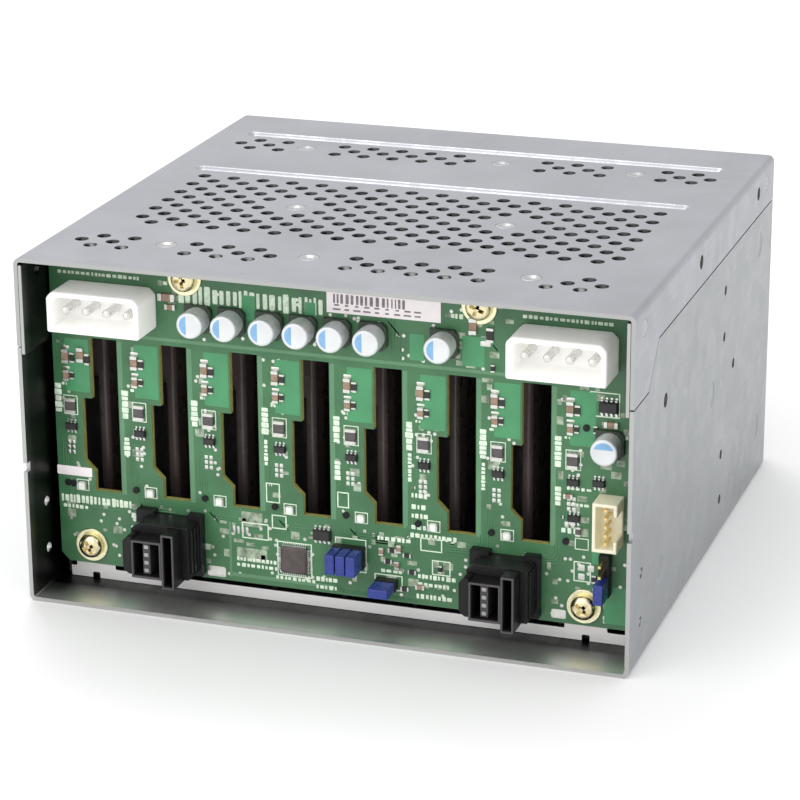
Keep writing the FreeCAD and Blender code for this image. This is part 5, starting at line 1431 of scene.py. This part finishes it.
# %% Copper areas and bare strips
pours = [(beside(5.55, 55.2), (6.0, 13.0, POUR_STEP), 0),
         (at((32.6, 68.3)), (5.2, 7.0, POUR_STEP), 0),
         (at((19.3, 68.0)), (3.4, 6.2, POUR_STEP), 0),
         (at((-21.0, 73.4)), (3.2, 6.0, POUR_STEP), 0),
         (at((-6.0, 73.0)), (2.6, 6.4, POUR_STEP), 0),
         (at((62.6, 22.6)), (4.0, 3.6, POUR_STEP), 0),
         (at((66.6, 11.2)), (6.0, 9.0, POUR_STEP), 0)]
laid("copper_pours", pour_tree, pours, "circuit_board")
strips = [(beside(-1.05, 43.1, AFTER_SLOTS), (1.15, 38.0, STRIP_STEP), 0),
          (at((-0.6, 63.7)), (118.0, 0.8, STRIP_STEP), 0),
          (at((-27.0, 13.5)), (0.6, 14.0, STRIP_STEP), 0),
          (at((-14.0, 7.2)), (26.0, 0.9, STRIP_STEP), 0)]
laid("bare_strips", strip_tree, strips, "circuit_board")

# %% Thin tracks
def tracks_of(bay, count, lane):
    """Return the chains of points of the tracks that run down beside a slot and turn off below it."""
    chains = []
    left = bays_left + bay * BAY_WIDTH
    towards = -1 if left > 0 else 1
    for number in range(count):
        x = left + 0.9 + number * lane
        low = 21.5 - number * lane
        aside = x + towards * 1.6
        chains.append([(x, 37.0 - number * 2.2), (x, 27.5), (aside, 25.9), (aside, low + 1.2),
                       (x + towards * 2.8, low), (x + towards * (9.0 + number), low)])
    return chains


chains = [chain for bay in BARS for chain in tracks_of(bay, 4, 0.62)]
chains += [[(x, 78.5), (x, 74.0 - 0.8 * number), (x + 1.5, 72.5 - 0.8 * number), (x + 1.5, 64.6)]
           for number, x in enumerate((12.0, 12.7, 13.4, 14.1, 36.6, 37.3))]
chains += [[(-5.5, 9.2 - 0.6 * number), (-1.6, 9.2 - 0.6 * number),
            (1.0, 6.9 - 0.3 * number), (20.0, 6.9 - 0.3 * number)] for number in range(3)]
chain_spots, chain_edges = [], []
for chain in chains:
    first = len(chain_spots)
    chain_spots += at(*chain)
    chain_edges += [(first + number, first + number + 1) for number in range(len(chain) - 1)]
track_points = points("tracks", chain_spots, chain_edges)
put(new_object("thin_tracks", grow("thin_tracks", track_points, thin_tracks)), "circuit_board", "cage")

# %% Small parts
resistors = [(beside(4.35, 57.1), (2.5, 1.3, 0.55), 90), (beside(4.2, 52.7), (1.9, 1.1, 0.5), 90),
             (at((-61.8, 57.0)), (2.8, 1.2, 0.55), 90), (at((36.5, 72.6)), (3.4, 1.7, 0.6), 90),
             (at((37.2, 64.9), (61.0, 53.0), (24.8, 15.0)), (1.8, 1.0, 0.5), 90),
             (at((13.2, 18.2), (16.8, 17.4), (12.2, 15.4), (18.0, 13.4), (16.2, 9.0)), (2.0, 1.1, 0.5), 0),
             (at((-2.4, 14.8), (61.2, 17.2)), (1.9, 1.1, 0.5), 90)]
laid("flat_resistors", resistor_tree, resistors, "resistor_body", "chip_resistors")
ceramics = [(beside(2.7, 57.4), (3.5, 1.75, 0.9), 90), (beside(2.75, 52.6), (2.7, 1.5, 0.8), 90),
            (at((-63.4, 58.0)), (3.6, 1.8, 0.9), 90), (at((-41.0, 74.2)), (4.2, 1.9, 1.0), 0),
            (at((-40.2, 71.9)), (2.6, 1.4, 0.8), 0), (at((32.6, 74.4)), (3.8, 1.9, 1.0), 90),
            (at((64.6, 54.6)), (3.2, 1.5, 0.9), 0), (at((55.0, 36.6), (20.0, 10.0)), (2.2, 1.2, 0.8), 0),
            (at((10.6, 17.8), (14.9, 18.9), (14.4, 14.8)), (1.9, 1.2, 0.8), 90)]
laid("tan_ceramics", ceramic_tree, ceramics, "ceramic_body")
greys = [(beside(3.45, 45.2), (3.7, 2.7, 1.0), 90), (at((57.4, 28.4)), (2.2, 1.3, 0.8), 90)]
laid("grey_ceramics", grey_tree, greys, "ceramic_body", "chip_capacitors")
logic_spots = beside(3.55, 40.0) + at((62.0, 40.4), (56.4, 31.4))
drivers = sown("driver_chips", driver_tree, at((64.0, 58.6), (-3.9, 20.0)))
logic = sown("logic_packages", logic_tree, logic_spots)
put(join_pieces("leaded_packages", [logic, drivers]), "chip_plastic", "cage", "logic_chips")
controller_x, _, controller_z = middle_mm("controller_chip")
controller = sown("leaded_controller", controller_tree, at((controller_x, controller_z)))
put(controller, "chip_plastic", "cage", "controller_chip")
laid("lamp_bodies", led_tree, [(beside(5.7, 25.3, range(BAY_COUNT - 1)), (2.2, 1.8, 1.1), 0)], "led_lens",
     "status_leds")
dots = beside(2.0, 25.6) + at((-66.6, 25.5), (58.9, 53.2))
put(sown("dark_buttons", dark_dot_tree, dots), "chip_plastic", "cage")

# %% Light windows in the feet of the trays
WINDOW_SIZE = (1.9, 0.95, 0.14)
WINDOW_OFFSET = 2.7
WINDOW_RISE = 1.3
window_tree = plate_tree("light_window", finish["window"], corner=0.3)
for bay in range(1, BAY_COUNT + 1):
    tray_low, tray_high = box_mm(f"tray_{bay}")
    middle = (tray_low.x + tray_high.x) / 2
    spots = [(middle + side * WINDOW_OFFSET, tray_high.y, tray_low.z + WINDOW_RISE) for side in (-1, 1)]
    windows = sown(f"light_windows_{bay}", window_tree, spots, FORWARD, size=sizes_mm(WINDOW_SIZE, 2))
    put(windows, "led_lens", f"tray_{bay}")

# %% Solder pads and dots of tin
PAD_STEP = 0.06
RAISED_PAD_STEP = 0.07
pads = [(beside(2.55 + 1.2 * column, 33.4 + 1.25 * row), (0.8, 0.95, PAD_STEP), 0)
        for column in range(2) for row in range(3)]
pads += [(beside(2.7, 59.5), (1.9, 0.7, RAISED_PAD_STEP), 0),
         (beside(2.7, 54.4), (1.8, 0.6, RAISED_PAD_STEP), 0),
         (at(*[(-26.0 + 1.1 * number, 18.6) for number in range(4)]), (0.7, 1.8, PAD_STEP), 0),
         (at((-30.6, 7.4)), (4.6, 2.6, PAD_STEP), 0), (at((53.0, 7.6)), (3.4, 2.2, PAD_STEP), 0),
         (at((58.2, 19.6), (58.2, 17.4), (60.4, 19.6)), (1.5, 1.5, PAD_STEP), 0),
         (at((36.3, 77.3), (35.4, 70.4)), (2.4, 1.2, PAD_STEP), 0),
         (at((54.6, 29.6), (56.0, 29.6)), (0.9, 1.4, PAD_STEP), 0)]
laid("tinned_pads", pad_tree, pads, "tinned_pin")
via_spots = [(luck.uniform(board_low.x + 2, board_high.x - 2), luck.uniform(7.0, 22.5)) for _ in range(150)]
via_spots += [(bays_left + bay * BAY_WIDTH + luck.uniform(-0.2, 7.6), luck.uniform(25.5, 62.0))
              for bay in BARS for _ in range(16)]
via_spots += [(luck.uniform(-36.0, 38.0), luck.uniform(64.5, 78.0)) for _ in range(60)]
via_spots = [spot for spot in via_spots if on_board(*spot)]
put(sown("tinned_dots", via_tree, at(*via_spots)), "tinned_pin", "cage")


# %% White print
PRINT_STEP = 0.045


def dashes(x, z, length, height, upright=False, mark=(0.45, 1.15), gap=(0.22, 0.5)):
    """Return rows of short bars that fill a length, as unreadable small print does."""
    rows = []
    start = 0.0
    while start < length:
        width = luck.uniform(*mark)
        centre = start + width / 2
        tall = height * luck.uniform(0.72, 1.0)
        spot, size = ((x, z + centre), (tall, width)) if upright else ((x + centre, z), (width, tall))
        rows.append((at(spot), (*size, PRINT_STEP), 0))
        start += width + luck.uniform(*gap)
    return rows


def outline_marks(x, z, width, height, line=0.28):
    """Return the four lines of a printed frame round a part."""
    return [(at((x, z + height / 2), (x, z - height / 2)), (width + line, line, PRINT_STEP), 0),
            (at((x - width / 2, z), (x + width / 2, z)), (line, height, PRINT_STEP), 0)]

# %% Rows of print and printed frames
marks = []
for bay in BARS:
    left = bays_left + bay * BAY_WIDTH
    side = left + (0.35 if bay == 0 else -0.1)
    marks += dashes(side, 43.2, 6.4, 1.9, upright=True, mark=(0.8, 1.5), gap=(0.12, 0.2))
    if bay in (1, 4, 7):
        marks += dashes(side + 0.1, 34.0, 4.4, 1.7, upright=True, mark=(0.8, 1.4), gap=(0.12, 0.2))
    if bay in (3, 5, 6):
        marks += dashes(side + 0.1, 35.6, 6.4, 1.0, upright=True, mark=(0.5, 1.2), gap=(0.15, 0.3))
    marks += outline_marks(left + 3.45, 45.2, 3.4, 4.6, 0.22)
    marks += dashes(left + 1.4, 50.4, 3.4, 0.7)
    marks += outline_marks(left + 5.7, 25.3, 3.0, 2.6, 0.22)
for x, z, width, height in ((-16.0, 28.9, 3.2, 4.6), (1.3, 29.2, 2.6, 3.6), (-14.6, 21.8, 3.4, 3.2),
                            (controller_x, controller_z, 8.4, 8.4), (-20.6, 18.8, 6.4, 3.8),
                            (3.0, 15.8, 7.4, 8.0), (12.2, 10.1, 6.6, 3.6), (58.4, 18.6, 3.8, 4.6),
                            (63.0, 59.0, 6.6, 5.6), (25.0, 15.2, 4.2, 3.4), (22.6, 20.6, 5.0, 3.0)):
    marks += outline_marks(x, z, width, height)
for x, z, length, height in ((-70.0, 21.6, 17.5, 2.2), (-69.6, 19.6, 6.0, 1.0), (-52.0, 19.0, 4.0, 1.4),
                             (-25.4, 11.4, 9.6, 1.0), (-25.4, 9.9, 9.6, 1.0), (-15.6, 7.9, 9.4, 0.9),
                             (-5.6, 8.8, 4.6, 1.2), (-5.6, 6.8, 4.6, 1.1), (-37.0, 79.2, 4.0, 0.8),
                             (19.0, 7.6, 9.0, 1.3), (19.4, 12.6, 9.0, 1.2), (19.4, 10.6, 7.6, 1.1),
                             (17.6, 22.6, 11.0, 1.2), (17.8, 24.6, 4.0, 1.3), (17.9, 27.4, 3.8, 1.3),
                             (17.9, 29.6, 3.6, 1.2), (17.9, 32.4, 3.6, 1.3), (9.6, 20.9, 7.0, 1.1),
                             (10.4, 12.9, 4.6, 0.9),
                             (54.6, 38.4, 5.0, 0.8), (54.6, 34.6, 5.0, 0.9), (53.4, 28.2, 3.0, 1.4),
                             (61.6, 51.7, 7.0, 0.9), (-42.0, 77.4, 3.6, 1.0), (27.4, 76.2, 3.0, 1.2),
                             (63.4, 8.0, 5.6, 1.0), (-68.4, 77.9, 20.0, 0.9),
                             (44.0, 77.7, 20.0, 0.9)):
    marks += dashes(x, z, length, height)
marks += dashes(-38.2, 75.2, 35.4, 4.6, mark=(0.5, 1.5), gap=(0.35, 0.8))
laid("white_marks", print_tree, marks, "circuit_board")

# %% Pale patches of worn print and bare joints
PATCH_STEP = 0.033
patch_areas = [(-33.0, 8.0, -16.0, 23.0, 12), (0.0, 8.0, 30.0, 23.0, 52), (-12.0, 17.5, 0.0, 23.5, 8),
               (50.0, 9.0, 70.0, 23.0, 14), (53.5, 24.0, 69.0, 63.0, 34), (-69.0, 31.5, -60.5, 62.0, 9),
               (27.0, 65.0, 41.0, 80.0, 20), (-44.0, 65.0, -34.0, 80.0, 8), (-68.0, 8.5, -50.0, 24.0, 12)]
patch_areas += [(bays_left + bay * BAY_WIDTH, 26.0, bays_left + bay * BAY_WIDTH + 6.6, 62.0, 9)
                for bay in AFTER_SLOTS]
patches, taken = [], []
for low_x, low_z, high_x, high_z, count in patch_areas:
    for _ in range(count):
        x, z = luck.uniform(low_x, high_x), luck.uniform(low_z, high_z)
        wide, tall = luck.uniform(0.8, 2.6), luck.uniform(0.7, 2.0)
        clear = all(abs(x - a) > (wide + b) / 2 + 0.2 or abs(z - c) > (tall + d) / 2 + 0.2
                    for a, b, c, d in taken)
        if clear and on_board(x, z, 1.6):
            taken.append((x, wide, z, tall))
            patches.append((at((x, z)), (wide, tall, PATCH_STEP), 0))
patches += [(at((-21.4, 21.6)), (5.2, 3.6, PATCH_STEP), 0), (at((-21.6, 12.6)), (7.6, 3.4, PATCH_STEP), 0)]
laid("pale_patches", plate_tree("pale_patch", finish["patch"], corner=0.04), patches, "circuit_board")
tag_tree = plate_tree("paper_tag", finish["label"], corner=0.04)
laid("paper_tag", tag_tree, [(at((-66.3, 28.6)), (9.0, 2.3, 0.11), 0)], "label_paper")
print("pale patches:", len(patches))

# %% Print on the label
INK_STEP = 0.02
label_low, label_high = box_mm("board_label")
bars = []
start = label_low.x + 1.6
while start < label_high.x - 9.0:
    width = luck.uniform(0.25, 0.8)
    bars.append(([(start + width / 2, label_low.y, label_high.z - 2.3)], (width, 2.2, INK_STEP), 0))
    start += width + luck.uniform(0.3, 0.7)
for row in range(2):
    y, z = label_low.y, label_low.z + 0.9 + row * 1.0
    for number in range(9):
        bars.append(([(label_low.x + 2.4 + 2.4 * number, y, z)], (luck.uniform(0.8, 1.9), 0.4, INK_STEP), 0))
laid("label_marks", ink_tree, bars, "label_paper")
